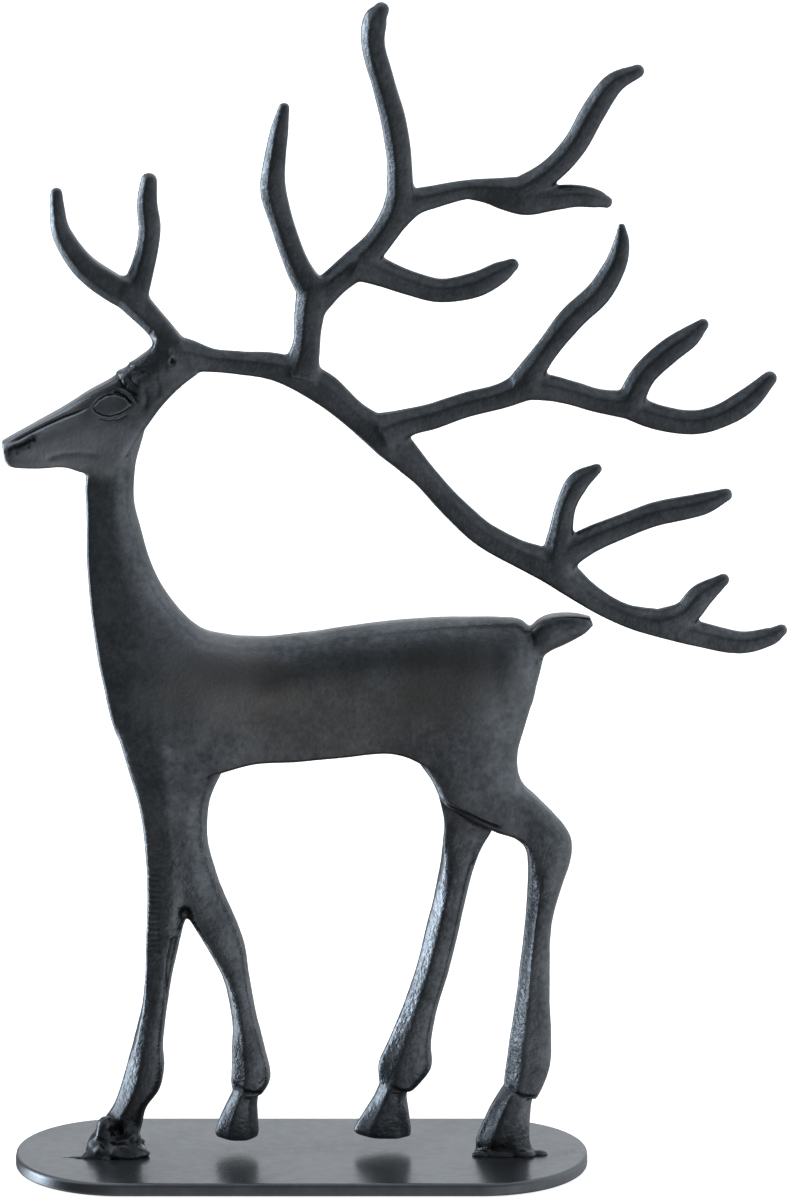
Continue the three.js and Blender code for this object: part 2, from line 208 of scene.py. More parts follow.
class Mould:
    """Collects the casting's overlapping shells and fuses them into one skin."""

    def __init__(self) -> None:
        """Starts an empty mould."""
        self.shells = bmesh.new()

    def pour(self, shell: bmesh.types.BMesh) -> None:
        """Adds one closed shell and frees it."""
        carrier = make_mesh("shell", shell)
        self.shells.from_mesh(carrier)
        bpy.data.meshes.remove(carrier)

    def lump(self, center: Sequence[float], reach: Sequence[float]) -> None:
        """Adds an egg-shaped lump of metal, from its middle and half sizes in millimetres."""
        scale = Matrix.Diagonal((*(value * MM for value in reach), 1.0))
        place = Matrix.Translation(Vector(center) * MM) @ scale
        bmesh.ops.create_icosphere(self.shells, subdivisions=3, radius=1.0, matrix=place)

    def fuse(self, name: str, voxel: float, smoothing: int) -> bpy.types.Mesh:
        """Melts the shells together.

        Args:
            name: Name of the mesh that is made.
            voxel: Grain of the fused skin, in metres.
            smoothing: How many times the skin is relaxed.

        Returns:
            One closed mesh.
        """
        raw = make_mesh(name + "_shells", self.shells)
        carrier = put_in_scene(name + "_shells", raw)
        remesh = carrier.modifiers.new("fuse", "REMESH")
        remesh.mode = "VOXEL"
        remesh.voxel_size = voxel
        relax = carrier.modifiers.new("relax", "SMOOTH")
        relax.factor = 0.5
        relax.iterations = smoothing
        return settle(carrier, name)


class Side(Enum):
    """Which faces of the flat casting a stroke is cut into."""

    NEAR = (-1.0,)
    BOTH = (-1.0, 1.0)


@dataclass(frozen=True)
class Stroke:
    """A line drawn on the side faces of the casting with a round-nosed tool.

    Points are (x, z), and width and depth are in millimetres. A depth below 0 raises a
    line, and the ends run out to nothing. Black is how much painted shade is laid in it.
    """

    points: Sequence[Point]
    width: float
    depth: float
    black: float = 0.8
    side: Side = Side.BOTH


@dataclass(frozen=True)
class Dab:
    """A round dab of the tool on the skin, in millimetres: height below 0 presses a hollow."""

    center: Place
    radius: float
    height: float
    # Black is how much painted shade the dab lays.
    black: float = 0.0


@dataclass(frozen=True)
class Spot:
    """An egg-shaped place on the casting: its middle and its half sizes, in millimetres."""

    center: Place
    reach: Place


class Skin:
    """The fused surface of the casting, for hand-work that moves its points."""

    fade = 6.0
    crease_gain = 0.8
    ledge_gain = 0.9
    rounds_per_look = 5
    sharpness = 2.5
    run_out = 8.0
    blunt_end = 0.25

    def __init__(self, mesh: bpy.types.Mesh) -> None:
        """Reads a mesh's points and edges."""
        self.mesh = mesh
        self.points = np.empty(len(mesh.vertices) * 3)
        mesh.vertices.foreach_get("co", self.points)
        self.points = self.points.reshape(-1, 3)
        edges = np.empty(len(mesh.edges) * 2, np.int64)
        mesh.edges.foreach_get("vertices", edges)
        self.first, self.second = edges.reshape(-1, 2).T
        self.degree = np.bincount(edges, minlength=len(self.points))
        # How much painted shade each point gets from the cut lines and dabs.
        self.black = np.zeros(len(self.points))
        self.refresh()

    def refresh(self) -> None:
        """Works out again which way each point faces."""
        self.write()
        facing = np.empty(self.points.size, np.float32)
        self.mesh.vertex_normals.foreach_get("vector", facing)
        self.facing = facing.reshape(-1, 3).astype(float)

    def write(self) -> None:
        """Puts the moved points back in the mesh."""
        self.mesh.vertices.foreach_set("co", self.points.ravel().astype(np.float32))
        self.mesh.update()

    def keep(self, name: str, share: np.ndarray) -> None:
        """Keeps a share at each point on the mesh, for the finish to read."""
        held = self.mesh.attributes.new(name, "FLOAT", "POINT")
        held.data.foreach_set("value", share)

    def above(self, height: float, axis: int = 2) -> np.ndarray:
        """The share of an effect that starts at a height, or at a place along another axis."""
        return np.clip((self.points[:, axis] / MM - height) / self.fade, 0.0, 1.0)

    def around(self, spot: Spot) -> np.ndarray:
        """The share of an effect at each point, that fades out round a spot."""
        away = (self.points / MM - np.array(spot.center)) / np.array(spot.reach)
        return np.clip(2.0 - 2.0 * np.linalg.norm(away, axis=1), 0.0, 1.0)

    def neighbour_gap(self, values: np.ndarray) -> np.ndarray:
        """How far the value at each point lies below the mean of its neighbours' values."""
        count = len(values)
        total = np.bincount(self.first, weights=values[self.second], minlength=count)
        total += np.bincount(self.second, weights=values[self.first], minlength=count)
        return total / self.degree - values

    def fill_creases(self, rounds: int, where: np.ndarray) -> None:
        """Rounds out the hollow corners where limbs meet, and leaves ridges as they are.

        Args:
            rounds: How many times the corners are filled.
            where: The share of the filling at each point.
        """
        for turn in range(rounds):
            if turn % self.rounds_per_look == 0:
                self.refresh()
            pull = np.column_stack([self.neighbour_gap(line) for line in self.points.T])
            lift = np.einsum("ij,ij->i", pull, self.facing)
            self.points += self.facing * (np.maximum(lift, 0.0) * where * self.crease_gain)[:, None]

    def fill_ledges(self, rounds: int, where: np.ndarray, inward: bool = False) -> None:
        """Runs metal out from the side faces over the ledges below them.

        Args:
            rounds: How many times the faces are evened.
            where: The share of the filling at each point.
            inward: Whether it takes metal off the high places too.
        """
        depth = np.abs(self.points[:, 1])
        for _ in range(rounds):
            gap = self.neighbour_gap(depth)
            depth += (gap if inward else np.maximum(gap, 0.0)) * where * self.ledge_gain
        self.points[:, 1] = np.copysign(depth, self.points[:, 1])

    def carve(self, strokes: Sequence[Stroke], dabs: Sequence[Dab]) -> None:
        """Cuts the strokes into the side faces, and then presses or raises the dabs."""
        self.refresh()
        for stroke in strokes:
            self.cut(stroke)
        self.refresh()
        for dab in dabs:
            self.dab(dab)

    def cut(self, stroke: Stroke) -> None:
        """Cuts one stroke into the side faces."""
        flat = self.points[:, (0, 2)] / MM
        distance = np.full(len(flat), np.inf)
        run = np.zeros(len(flat))
        line = np.array(stroke.points, float)
        for index, (start, end) in enumerate(zip(line, line[1:])):
            along = end - start
            share = np.clip((flat - start) @ along / (along @ along), 0.0, 1.0)
            near = np.linalg.norm(flat - start - share[:, None] * along, axis=1)
            closer = near < distance
            distance = np.where(closer, near, distance)
            run = np.where(closer, (index + share) / (len(line) - 1), run)
        profile = np.exp(-self.sharpness * (2 * distance / stroke.width) ** 2)
        taper = np.clip(np.minimum(run, 1 - run) * self.run_out + self.blunt_end, 0.0, 1.0)
        facing = sum(np.clip(self.facing[:, 1] * side, 0.0, 1.0) for side in stroke.side.value)
        mark = profile * taper * facing
        self.points -= self.facing * (stroke.depth * MM * mark)[:, None]
        # Painted shade laid along the line.
        self.black = np.maximum(self.black, stroke.black * mark)

    def dab(self, dab: Dab) -> None:
        """Raises or presses one round dab."""
        distance = np.linalg.norm(self.points / MM - np.array(dab.center), axis=1)
        mark = np.exp(-self.sharpness * (distance / dab.radius) ** 2)
        self.points += self.facing * (dab.height * MM * mark)[:, None]
        # Painted shade laid in the dab.
        self.black = np.maximum(self.black, dab.black * mark)

    def ripple(self, wave: float, depth: float, seed: float, where: np.ndarray) -> None:
        """Gives the skin the uneven surface of a sand casting.

        Args:
            wave: Size of the unevenness, in millimetres.
            depth: Its height, in millimetres.
            seed: Where in the noise it is read.
            where: The share of the unevenness at each point.
        """
        self.refresh()
        start = Vector((seed, seed, seed))
        heights = [noise.noise(Vector(point) / (wave * MM) + start) for point in self.points]
        self.points += self.facing * (np.array(heights) * where * depth * MM)[:, None]


@dataclass
class Antlers:
    """The antlers: one swept beam, and the limbs of its fork and crowns.

    Each limb is a row of stations (x, z, width) along its centre line, from root to tip.
    Flatness is its thickness as a share of its width.
    """

    flatness: float = 0.9
    sides: int = 40
    steps: int = 6
    tip_reach: float = 0.55
    tip_turns: Sequence[float] = (20, 38, 54, 68, 80)
    beam: Table = (
        (-42, 275, 15), (-36, 275, 10.5), (-28, 273.4, 7.3), (-18, 272.5, 7.5), (-6, 270.8, 9),
        (7, 264.6, 10.2), (18, 255.2, 8.6), (29.5, 246.5, 11), (39.8, 235.9, 7.9),
        (47.8, 227, 7.6), (58.8, 216.4, 8), (70.4, 209.6, 8.4), (83, 204, 10.5),
        (94.6, 195, 7.8), (106.2, 188.4, 7), (119, 185.2, 8.8), (132, 181.5, 7.9),
        (145, 179, 7.1), (154.3, 180.8, 5.7), (158.3, 183, 3.9),
    )
    front_fork: Sequence[Table] = (
        ((-42, 278, 10), (-45.6, 284, 7.8), (-52, 291.2, 8.8), (-56.5, 296, 10)),
        ((-53, 293.5, 9), (-61.5, 298.1, 8.9), (-70.8, 305.5, 7.8), (-77.1, 315.5, 6.2),
         (-78.5, 324, 4.6), (-78.7, 328.6, 3.6)),
        ((-54.5, 293.5, 10), (-50.6, 305, 7.4), (-48.5, 316, 7), (-49.2, 325, 6.6),
         (-48.6, 332.6, 5.2)),
    )
    top_crown: Sequence[Table] = (
        ((0, 268.5, 13), (2.4, 278.5, 8.8), (3.3, 288.5, 9.5), (4.5, 296, 10.5)),
        ((5, 295, 9.5), (-0.7, 305.3, 7.8), (-5, 317.5, 7.5), (-8.2, 329.5, 8.1),
         (-7.7, 339.6, 6.9), (-6.2, 349.2, 5.7), (-4.7, 356.5, 3.7)),
        ((4.5, 292.5, 10), (11.8, 299.6, 8.8), (18.8, 305.6, 9.4), (25.4, 312.4, 8.4),
         (31, 321, 9), (33.3, 329, 8.5)),
        ((33, 327, 8.5), (32.7, 339.6, 7.9), (30.8, 352.5, 8), (27.3, 365.5, 7.3),
         (24.2, 377.2, 7.5), (24.9, 385, 7.6), (26.8, 388.5, 5)),
        ((18.5, 306, 11), (27.3, 302.4, 8.8), (35.6, 299.2, 7.7), (45.9, 296.6, 7.5),
         (57.1, 298.4, 7.9), (65.1, 302.4, 6.9), (69.3, 305, 4.2)),
        ((29, 318, 8.6), (36.5, 325.2, 8.3), (44.6, 327.7, 7), (55.6, 330, 6),
         (65.3, 329.8, 7.4), (73, 329.6, 9)),
        ((71.5, 329, 9), (81.5, 335.7, 7.6), (89.8, 344.8, 7.7), (95.5, 355.4, 7.6),
         (101.8, 364.4, 6.7), (109.6, 368.6, 4.2)),
        ((54, 329.6, 5), (61, 328.6, 6.2), (67.5, 327.3, 8.4), (74, 326.5, 9.6), (82, 327.2, 8.2),
         (90, 327.8, 7), (96.2, 327, 5.9), (99.8, 325.8, 3.8)),
    )
    middle_crown: Sequence[Table] = (
        ((27, 249.5, 13), (34.5, 252.6, 9), (43.5, 254.9, 8.2), (55, 258.8, 7.8),
         (66.2, 261.8, 8), (75, 265.8, 10)),
        ((71.8, 264, 9.5), (80.6, 276.6, 7.3), (88.4, 286.9, 8), (97.4, 295.7, 7.9),
         (102.8, 304.6, 7), (104.9, 312, 5.2), (105, 317.6, 2.2)),
        ((70, 265, 9), (79.8, 264.6, 8.5), (89.4, 262.4, 7.5), (97.5, 260, 7.4),
         (108, 258.6, 9)),
        ((107, 257.5, 9), (112.4, 268.5, 7.8), (120.2, 276.2, 7.8), (127.2, 281.2, 6.7),
         (131.6, 285.2, 3.8)),
        ((105, 259.6, 8.5), (116, 254.8, 8), (127.7, 252.8, 7.6), (136.8, 254.6, 7.5),
         (146, 260, 7.6), (153.5, 267.4, 4.6)),
    )
    lower_crown: Sequence[Table] = (
        ((83.5, 203, 11), (85.6, 215.5, 7.8), (87.4, 225, 6.5), (91.2, 232.7, 6.9),
         (97.2, 237.2, 3.5)),
        ((82, 204.5, 10), (93.8, 212.8, 8.6), (105.8, 218, 7.6), (117, 222.3, 7.6),
         (131.2, 225.3, 7.1), (139.6, 228.5, 4)),
        ((118.5, 185.5, 9), (126.6, 188.6, 8.2), (131.9, 194.6, 7.8), (139.1, 200, 3.8)),
    )

    def rings(self, bends: Table) -> list[Ring]:
        """Rings square to a limb's centre line, with a rounded tip.

        The front edge has an allowance for what fusing wears off it.

        Args:
            bends: Stations of the limb.

        Returns:
            The rings, from the root to the tip.
        """
        rows = smooth_rows(bends, self.steps)
        (x, z, width), before = rows[-1], rows[-2]
        ahead = (rows[-1][:2] - before[:2]) / np.linalg.norm(rows[-1][:2] - before[:2])
        dx, dz = ahead * width * self.tip_reach
        turns = [math.radians(angle) for angle in self.tip_turns]
        cap = [(x + dx * math.sin(t), z + dz * math.sin(t), width * math.cos(t)) for t in turns]
        rows = np.vstack([rows, cap])
        rings = []
        for index, (x, z, width) in enumerate(rows):
            back, forth = rows[max(0, index - 1)], rows[min(len(rows) - 1, index + 1)]
            along = (forth[:2] - back[:2]) / np.linalg.norm(forth[:2] - back[:2])
            dx, dz = along * width / 2
            px, pz = along * (width / 2 + WEAR_ALLOWANCE)
            rings.append(Ring((x - pz, z + px), (x + dz, z - dx), width * self.flatness))
        return rings

    def build(self, mould: Mould) -> None:
        """Pours the beam and every limb that grows from it."""
        crowns = [*self.top_crown, *self.middle_crown, *self.lower_crown]
        for bends in [self.beam, *self.front_fork, *crowns]:
            mould.pour(loft(self.rings(bends), self.sides, Section.LIMB))


def body_rings(rows: Table, steps: int, offset: float = 0.0) -> list[Ring]:
    """Rings of a body part from stations of (front x, front z, rear x, rear z, thickness)."""
    return [
        Ring((fx, fz), (rx, rz), thickness, offset)
        for fx, fz, rx, rz, thickness in smooth_rows(rows, steps)
    ]


@dataclass
class Torso:
    """The neck, chest, barrel and rump in one sweep, and the short tail."""

    thickness: float = 30.0
    neck: float = 17.0
    sides: int = 112
    steps: int = 8
    tail: Table = (
        (69, 180.5, 72, 172, 9), (74.2, 182.6, 79, 174.3, 11), (78.8, 186.8, 83.8, 177, 11.5),
        (83.5, 188.4, 88.2, 178.9, 10.5), (90, 188.5, 93.6, 182, 8.5), (95.2, 187.6, 96.5, 184.8, 5),
    )
    croup: Spot = Spot((66.4, -1.0, 168.0), (11.8, 12.5, 18.0))
    tail_plug: Spot = Spot((77.2, -0.5, 173.4), (2.7, 4.2, 3.6))

    def trunk_rows(self) -> Table:
        """Stations from the throat down the neck and along the back to the rump."""
        body, neck = self.thickness, self.neck
        return (
            (-64, 252, -50, 252.5, neck - 1), (-69.5, 236, -53.5, 240, neck - 0.5),
            (-69.8, 225.5, -54.4, 227.5, neck), (-69.8, 213.5, -51.8, 216, neck + 1),
            (-69.4, 200, -48.3, 204.3, neck + 2.5), (-67.8, 184.5, -42.9, 194.2, neck + 5),
            (-65, 167.5, -33.2, 184, neck + 8), (-60.2, 149, -23, 181.3, body - 2),
            (-50, 136, -14.5, 180.8, body), (-38, 133, -5, 181.3, body),
            (-26, 136.8, 1, 182, body), (-15, 139.7, 7, 182.8, body),
            (-1.5, 140.5, 14.5, 184, body), (14.5, 142, 25.5, 185.6, body),
            (30, 143.2, 36, 186.6, body), (41, 139, 46.5, 187.3, body),
            (50.5, 131, 57.5, 187.4, body - 0.5), (59, 131, 66.5, 187.4, body - 2),
            (66, 142, 72.5, 186.6, body - 6), (70.5, 152, 76, 183, body - 13),
            (73, 160, 78, 178, body - 21),
        )

    def build(self, mould: Mould) -> None:
        """Pours the trunk, the croup that carries on into the thigh, and the tail."""
        trunk = body_rings(self.trunk_rows(), self.steps)
        mould.pour(loft(trunk, self.sides, Section.FLANK))
        mould.pour(loft(body_rings(self.tail, self.steps), self.sides // 2, Section.SOFT))
        for spot in (self.croup, self.tail_plug):
            mould.lump(spot.center, spot.reach)

    def strokes(self) -> list[Stroke]:
        """The crease at the tail's root and its upper edge, and a painted shade along the breast."""
        root = ((71.5, 190.5), (74, 187.6), (75.6, 184.6), (76.6, 181), (77, 179))
        edge = ((79, 186.4), (84, 187.2), (90, 186.9), (94.2, 185.6))
        breast = ((-69.9, 226), (-69.8, 212), (-69.4, 200), (-67.8, 184.5), (-65, 167.5),
                  (-60.4, 149), (-57, 137), (-53, 123), (-51.3, 107), (-51, 94))
        return [
            # The two tail lines get painted shade in their creases.
            Stroke(root, 1.5, 0.4, 0.6),
            Stroke(edge, 1.1, 0.25, 0.35),
            # Painted shade along the front edge of the neck and breast: no cut, only black.
            Stroke(breast, 2.8, 0.0, 0.8),
        ]


@dataclass
class Head:
    """The long flat head, with the lines cut round its eye, brow, bridge and cheek."""

    thickness: float = 16.0
    sides: int = 48
    steps: int = 8
    lumps: Table = (
        ((-56.2, 0, 269.5), (3.8, 5.0, 1.1)), ((-52.4, -1, 272.5), (3.4, 4.8, 1.2)),
        ((-45.2, 0, 261.4), (2.2, 4.6, 2.0)), ((-40.6, 0, 265.8), (2.4, 4.2, 2.0)),
        ((-39.2, -1, 280.0), (2.2, 3.4, 1.7)),
    )

    def build(self, mould: Mould) -> None:
        """Pours the head as a slab with soft edges, and the lumps on its brow and poll."""
        full = self.thickness
        rows = (
            (-97.4, 246.5, -96.4, 240.5, 10.5), (-93, 249, -93.8, 238.6, 13),
            (-85.5, 253.2, -85.5, 238.2, 14), (-77.3, 257.8, -77, 238.7, full - 1),
            (-68.7, 263.2, -70.5, 237, full), (-60.7, 267.8, -61.5, 236, full + 1),
            (-54.6, 272.8, -50, 252, full + 1), (-48.6, 277.4, -45, 258.8, full - 1),
            (-45.5, 282.4, -39.4, 264.6, full - 4), (-38.4, 279, -33, 269.6, 9),
        )
        mould.pour(loft(body_rings(rows, self.steps), self.sides, Section.FACE))
        for place, reach in self.lumps:
            mould.lump(place, reach)

    def strokes(self) -> list[Stroke]:
        """The lines of the face, cut alike on both sides."""
        upper_lid = ((-67.6, 259.2), (-65.5, 261.6), (-62.9, 263.1), (-60, 263.5),
                     (-56.8, 262.8), (-54.3, 260.4))
        lower_lid = ((-67.6, 259.2), (-66.4, 257.6), (-64.3, 256.7), (-61.8, 256.4),
                     (-59, 257.2), (-56.4, 258.5), (-54.1, 260.4))
        bridge = ((-69, 258.9), (-77.4, 255.6), (-82.4, 253.3), (-87, 250.9), (-95, 246.6))
        crest = ((-94.5, 251), (-84.4, 257), (-77.6, 261), (-71.3, 264.6), (-63.5, 268.6))
        nostril = ((-96, 244.2), (-93.6, 245.8), (-91.4, 246.2), (-88.6, 247.6), (-85.6, 249.8))
        # Each line gets painted shade, as much as its black.
        return [
            Stroke(nostril, 3.4, 0.15, 1.0),
            Stroke(((-93, 244.4), (-90, 245.2), (-87.4, 246.8)), 1.6, 0.1, 0.4),
            Stroke(upper_lid, 1.2, 0.55, 0.95),
            Stroke(lower_lid, 1.1, 0.5, 0.95),
            Stroke(((-61, 264.1), (-59, 264.1), (-56.4, 262.7), (-54.3, 260.4)), 1.4, 0.6, 1.0),
            Stroke(((-59.4, 265.9), (-57, 265.3), (-54.8, 263.9), (-52.7, 261.2)), 1.2, 0.45, 0.8),
            Stroke(((-66.5, 255.6), (-62.3, 254.9), (-58.7, 255.4), (-56.1, 257)), 1.2, 0.3, 0.6),
            Stroke(((-59.2, 269.8), (-58.7, 268.2), (-57.6, 266.2), (-55.4, 264.9), (-52.4, 263.2)),
                   2.0, 0.4, 1.1),
            Stroke(((-55.8, 269.4), (-54.2, 267.6), (-52.2, 266)), 1.6, 0.2, 0.8),
            Stroke(bridge, 1.6, 0.7, 1.0),
            Stroke(crest, 1.3, 0.4, 0.9),
            Stroke(((-68.5, 262.4), (-73, 260.4), (-78, 258)), 1.0, 0.3, 0.6),
            Stroke(((-83, 241.8), (-77.5, 243.6), (-71.5, 244), (-65.6, 243.4)), 3.0, 0.3, 0.3),
            Stroke(((-50.6, 266), (-49.6, 262.5), (-50.4, 259)), 3.0, 0.35, 0.3),
            Stroke(((-47.5, 270), (-45.6, 266.5), (-46.4, 262)), 2.6, 0.3, 0.25),
            Stroke(((-53.5, 276.5), (-50, 280.4), (-47.5, 284)), 1.6, 0.35, 0.6),
        ]

    def dabs(self) -> list[Dab]:
        """The lumpy brow and poll, the pits along the face, and a blow-hole below the antlers."""
        near = -self.thickness / 2
        faces = (near, -near)
        bumps = (
            (-52, 268, 3.2, 0.6), (-54.5, 271, 2.4, 0.5), (-46, 262, 3.0, 0.5),
            (-41.5, 266, 2.6, 0.5), (-50.5, 273.6, 2.2, 0.45), (-57.2, 268.6, 1.4, 0.35),
            (-44, 259.6, 1.6, 0.5), (-39.4, 263.4, 1.5, 0.5), (-47.3, 277, 2.0, 0.4),
            (-36.5, 272, 2.0, 0.4), (-61.5, 259.8, 4.2, 0.35),
        )
        dents = (
            (-58.4, 268.8, 1.3), (-56.4, 266.6, 1.1), (-54.8, 269.2, 1.0), (-53.0, 266.2, 1.2),
            (-60.6, 266.4, 0.9), (-63.4, 265.2, 0.8), (-66.2, 263.4, 0.8), (-71.2, 258.2, 0.9),
            (-74.6, 256.4, 0.8), (-80.2, 254.6, 0.9), (-84.8, 252.2, 1.0), (-51.0, 270.6, 1.0),
        )
        nostril = (
            (-92.4, 247.2, 1.4), (-94.8, 243.6, 1.2), (-90.6, 248.6, 1.1), (-88.2, 245.8, 1.0),
            (-86.4, 248.0, 1.1), (-84.6, 250.4, 1.0), (-92.2, 243.8, 0.9),
        )
        # The blow-hole and the pits get painted shade.
        dabs = [Dab((-41.3, near + 1, 274.2), 1.5, -2.2, 1.0)]
        dabs += [Dab((x, y, z), size, high) for y in faces for x, z, size, high in bumps]
        for pits, depth in ((dents, 0.15), (nostril, 0.1)):
            dabs += [Dab((x, y * 0.8, z), size, -depth, 0.9) for y in faces for x, z, size in pits]
        return dabs


@dataclass
class Leg:
    """One leg, from inside the body to the fetlock, and the hoof below it.

    Rows are (front x, front z, rear x, rear z), from the body down. Thickness and offset
    from the middle plane are given at the body and at the hoof. The ridges turn sharp past
    the share crisp_from of the way down. The root is a share of the full thickness, so that
    it stays hidden inside the body, and growth is how quickly it comes to the whole of it.
    """

    shank: Table
    hoof: Table
    thickness: Point
    offset: Point
    hoof_thickness: float
    crisp_from: float = 0.3
    upper: Section = Section.SOFT
    growth: float = 5.0
    root: float = 0.5
    slimming: float = 1.65
    crisp_run: float = 0.2
    sides: int = 64
    steps: int = 6

    def shank_rings(self) -> list[Ring]:
        """Rings of the shank, whose thickness and offset change by its height."""
        top, bottom = self.shank[0][1], self.shank[-1][1]
        (wide_top, wide_bottom), (aside_top, aside_bottom) = self.thickness, self.offset
        rings = []
        for fx, fz, rx, rz in smooth_rows(self.shank, self.steps):
            fall = max(0.0, (top - fz) / (top - bottom))
            wide = wide_top + (wide_bottom - wide_top) * min(1.0, fall * self.slimming)
            wide *= min(1.0, self.root + fall * self.growth)
            aside = aside_top + (aside_bottom - aside_top) * math.sqrt(fall)
            crisp = min(1.0, max(0.0, (fall - self.crisp_from) / self.crisp_run))
            rings.append(Ring((fx, fz), (rx, rz), wide, aside, crisp))
        return rings

    def build(self, mould: Mould) -> None:
        """Pours the shank and the hoof."""
        mould.pour(loft(self.shank_rings(), self.sides, Section.SHIN, self.upper))
        if self.hoof:
            rows = [(*row, self.hoof_thickness) for row in self.hoof]
            hoof = body_rings(rows, self.steps, self.offset[1])
            mould.pour(loft(hoof, self.sides, Section.HOOF))


@dataclass
class Legs:
    """The four legs: the near ones are set back, and two feet are welded to the plate."""

    thickness: float = 12.0
    hoof_thickness: float = 12.5
    slim_hoof: float = 11.0
    shoulder: float = 21.0
    breast: float = 34.8
    thigh: float = 22.0
    stifle: float = 16.0

    def near_foreleg(self) -> Leg:
        """The near foreleg, whose hoof hangs just above the plate."""
        shank = (
            (-46, 147, -20.5, 146), (-46, 135, -25, 137.5), (-45.5, 123, -29.9, 126.5),
            (-45, 111, -30.8, 113), (-43.5, 100, -28.4, 102), (-40, 90, -24.7, 92),
            (-35.4, 82, -21.1, 83.5), (-30.4, 73.5, -18.6, 75), (-26.3, 65, -17.3, 65.7),
            (-24.1, 57, -15.9, 57), (-23, 48.2, -14.2, 48.2), (-23.3, 39, -12, 39),
            (-23.4, 32, -10.3, 32), (-23.5, 27.5, -10.8, 28), (-22.8, 24.5, -13, 24.5),
        )
        hoof = (
            (-23, 25.5, -14.2, 24.5), (-25.2, 20.8, -14.6, 20.8), (-27.4, 16, -14.4, 16),
            (-29, 11, -14.2, 11), (-28.4, FREE_HOOF_BOTTOM + 0.5, -14.8, FREE_HOOF_BOTTOM + 0.5),
        )
        size, offset = (self.shoulder, self.thickness), (-4, 1)
        return Leg(shank, hoof, size, offset, self.slim_hoof, 0.62, Section.OVAL)

    def far_foreleg(self) -> Leg:
        """The far foreleg, which runs down into a lump of weld."""
        shank = (
            (-66.2, 176, -44, 172), (-63.4, 163, -40, 158), (-60.1, 150, -36.8, 145),
            (-56.6, 137, -36.7, 131), (-52.8, 122.7, -36.8, 119.5),
            (-51.2, 107.3, -36.8, 105.5), (-50.9, 93.5, -37, 92), (-51.3, 79.8, -39.6, 80.2),
            (-51.8, 67.5, -42.6, 67), (-53, 55.5, -44.6, 55), (-55.8, 43.5, -46, 42.5),
            (-58, 35.5, -45.7, 34), (-60.4, 27, -47.2, 26.5), (-63.1, 20, -51.7, 20),
            (-67.2, 14, -53.2, 14), (-70.5, 9, -54.4, 9),
            (-71, PLATE_TOP - WELD_SINK, -54.6, PLATE_TOP - WELD_SINK),
        )
        size, offset = (self.breast, self.thickness), (0.5, 0)
        return Leg(shank, (), size, offset, self.thickness, 0.64, Section.BREAST, 3.4)

    def near_hindleg(self) -> Leg:
        """The near hind leg, whose hoof is welded to the plate."""
        shank = (
            (36, 152, 80, 174.5), (38.5, 141, 77.8, 164.5), (43, 134, 74.2, 152),
            (47, 126, 71.7, 142), (52.5, 122.6, 73, 132), (58, 119, 78.4, 126.2),
            (64.5, 116, 83.3, 121.5), (70.2, 114.2, 87.3, 117), (74, 110.5, 89.7, 112),
            (75.1, 104, 89.2, 105), (74.9, 95.7, 86.2, 95.7), (74.3, 83.7, 83.3, 83.7),
            (72.9, 71.6, 82.7, 71.6), (71.4, 58, 82.7, 58), (69.3, 44, 83.2, 44),
            (68.3, 35.5, 83, 35.5), (67.6, 30, 81.4, 29.5), (67.3, 26.5, 78.6, 23.5),
        )
        hoof = (
            (66.8, 27, 77.4, 24.5), (64.2, 22.5, 76.7, 20.8), (61.2, 16.8, 76.4, 16),
            (58.2, 9.5, 76.2, 9.5), (58, 6.5, 76.8, 6.5),
            (58, PLATE_TOP - WELD_SINK, 77.5, PLATE_TOP - WELD_SINK),
        )
        size, offset = (self.thigh, self.thickness), (-3.5, -1)
        return Leg(shank, hoof, size, offset, self.hoof_thickness, 0.3)

    def far_hindleg(self) -> Leg:
        """The far hind leg, whose hoof hangs just above the plate."""
        shank = (
            (43, 134, 66, 124), (47.2, 119, 64, 115.2), (47, 108.7, 59.2, 106.4),
            (44.8, 95, 55.3, 93.3), (41.7, 81.3, 52.4, 79.6), (38.3, 67.5, 49.1, 65.7),
            (34.5, 55.3, 45.2, 52.8), (29.6, 43.2, 43.4, 41.4), (25.8, 34.5, 43.6, 34),
            (25.6, 29.5, 42.2, 30.3), (26, 26, 37.4, 24.7),
        )
        hoof = (
            (26, 27, 36, 25.5), (23.9, 22.3, 35.2, 22.3), (20.5, 16.7, 35.9, 16.7),
            (17.3, 11, 36.6, 10.8), (18.5, FREE_HOOF_BOTTOM + 0.5, 36.4, FREE_HOOF_BOTTOM),
        )
        size, offset = (self.stifle, self.thickness), (5, 4)
        return Leg(shank, hoof, size, offset, self.slim_hoof, 0.2)

    def strokes(self) -> list[Stroke]:
        """Creases above the hoofs and across the thigh, ribs, and flash left by the mould."""
        coronets = (
            ((69, 28), (71.5, 26.6), (74.5, 25.2), (78.6, 24.8)),
            ((29.8, 27.4), (33, 25.6), (36.5, 25.2), (39, 25.6)),
            ((-22.6, 28.4), (-19.6, 26.6), (-15.4, 25.8), (-12.4, 26.4)),
        )
        thigh = ((46, 127.6), (49.3, 125.8), (54.2, 123.4), (59.2, 121), (63.1, 119.4), (66, 118.8))
        flash = ((-42.2, 80.8), (-44.1, 72.2), (-44.5, 61.9), (-45.2, 48.1))
        ribs = [((-50.8, 75 + rib * 1.9), (-46.6, 75.3 + rib * 1.9)) for rib in range(15)]
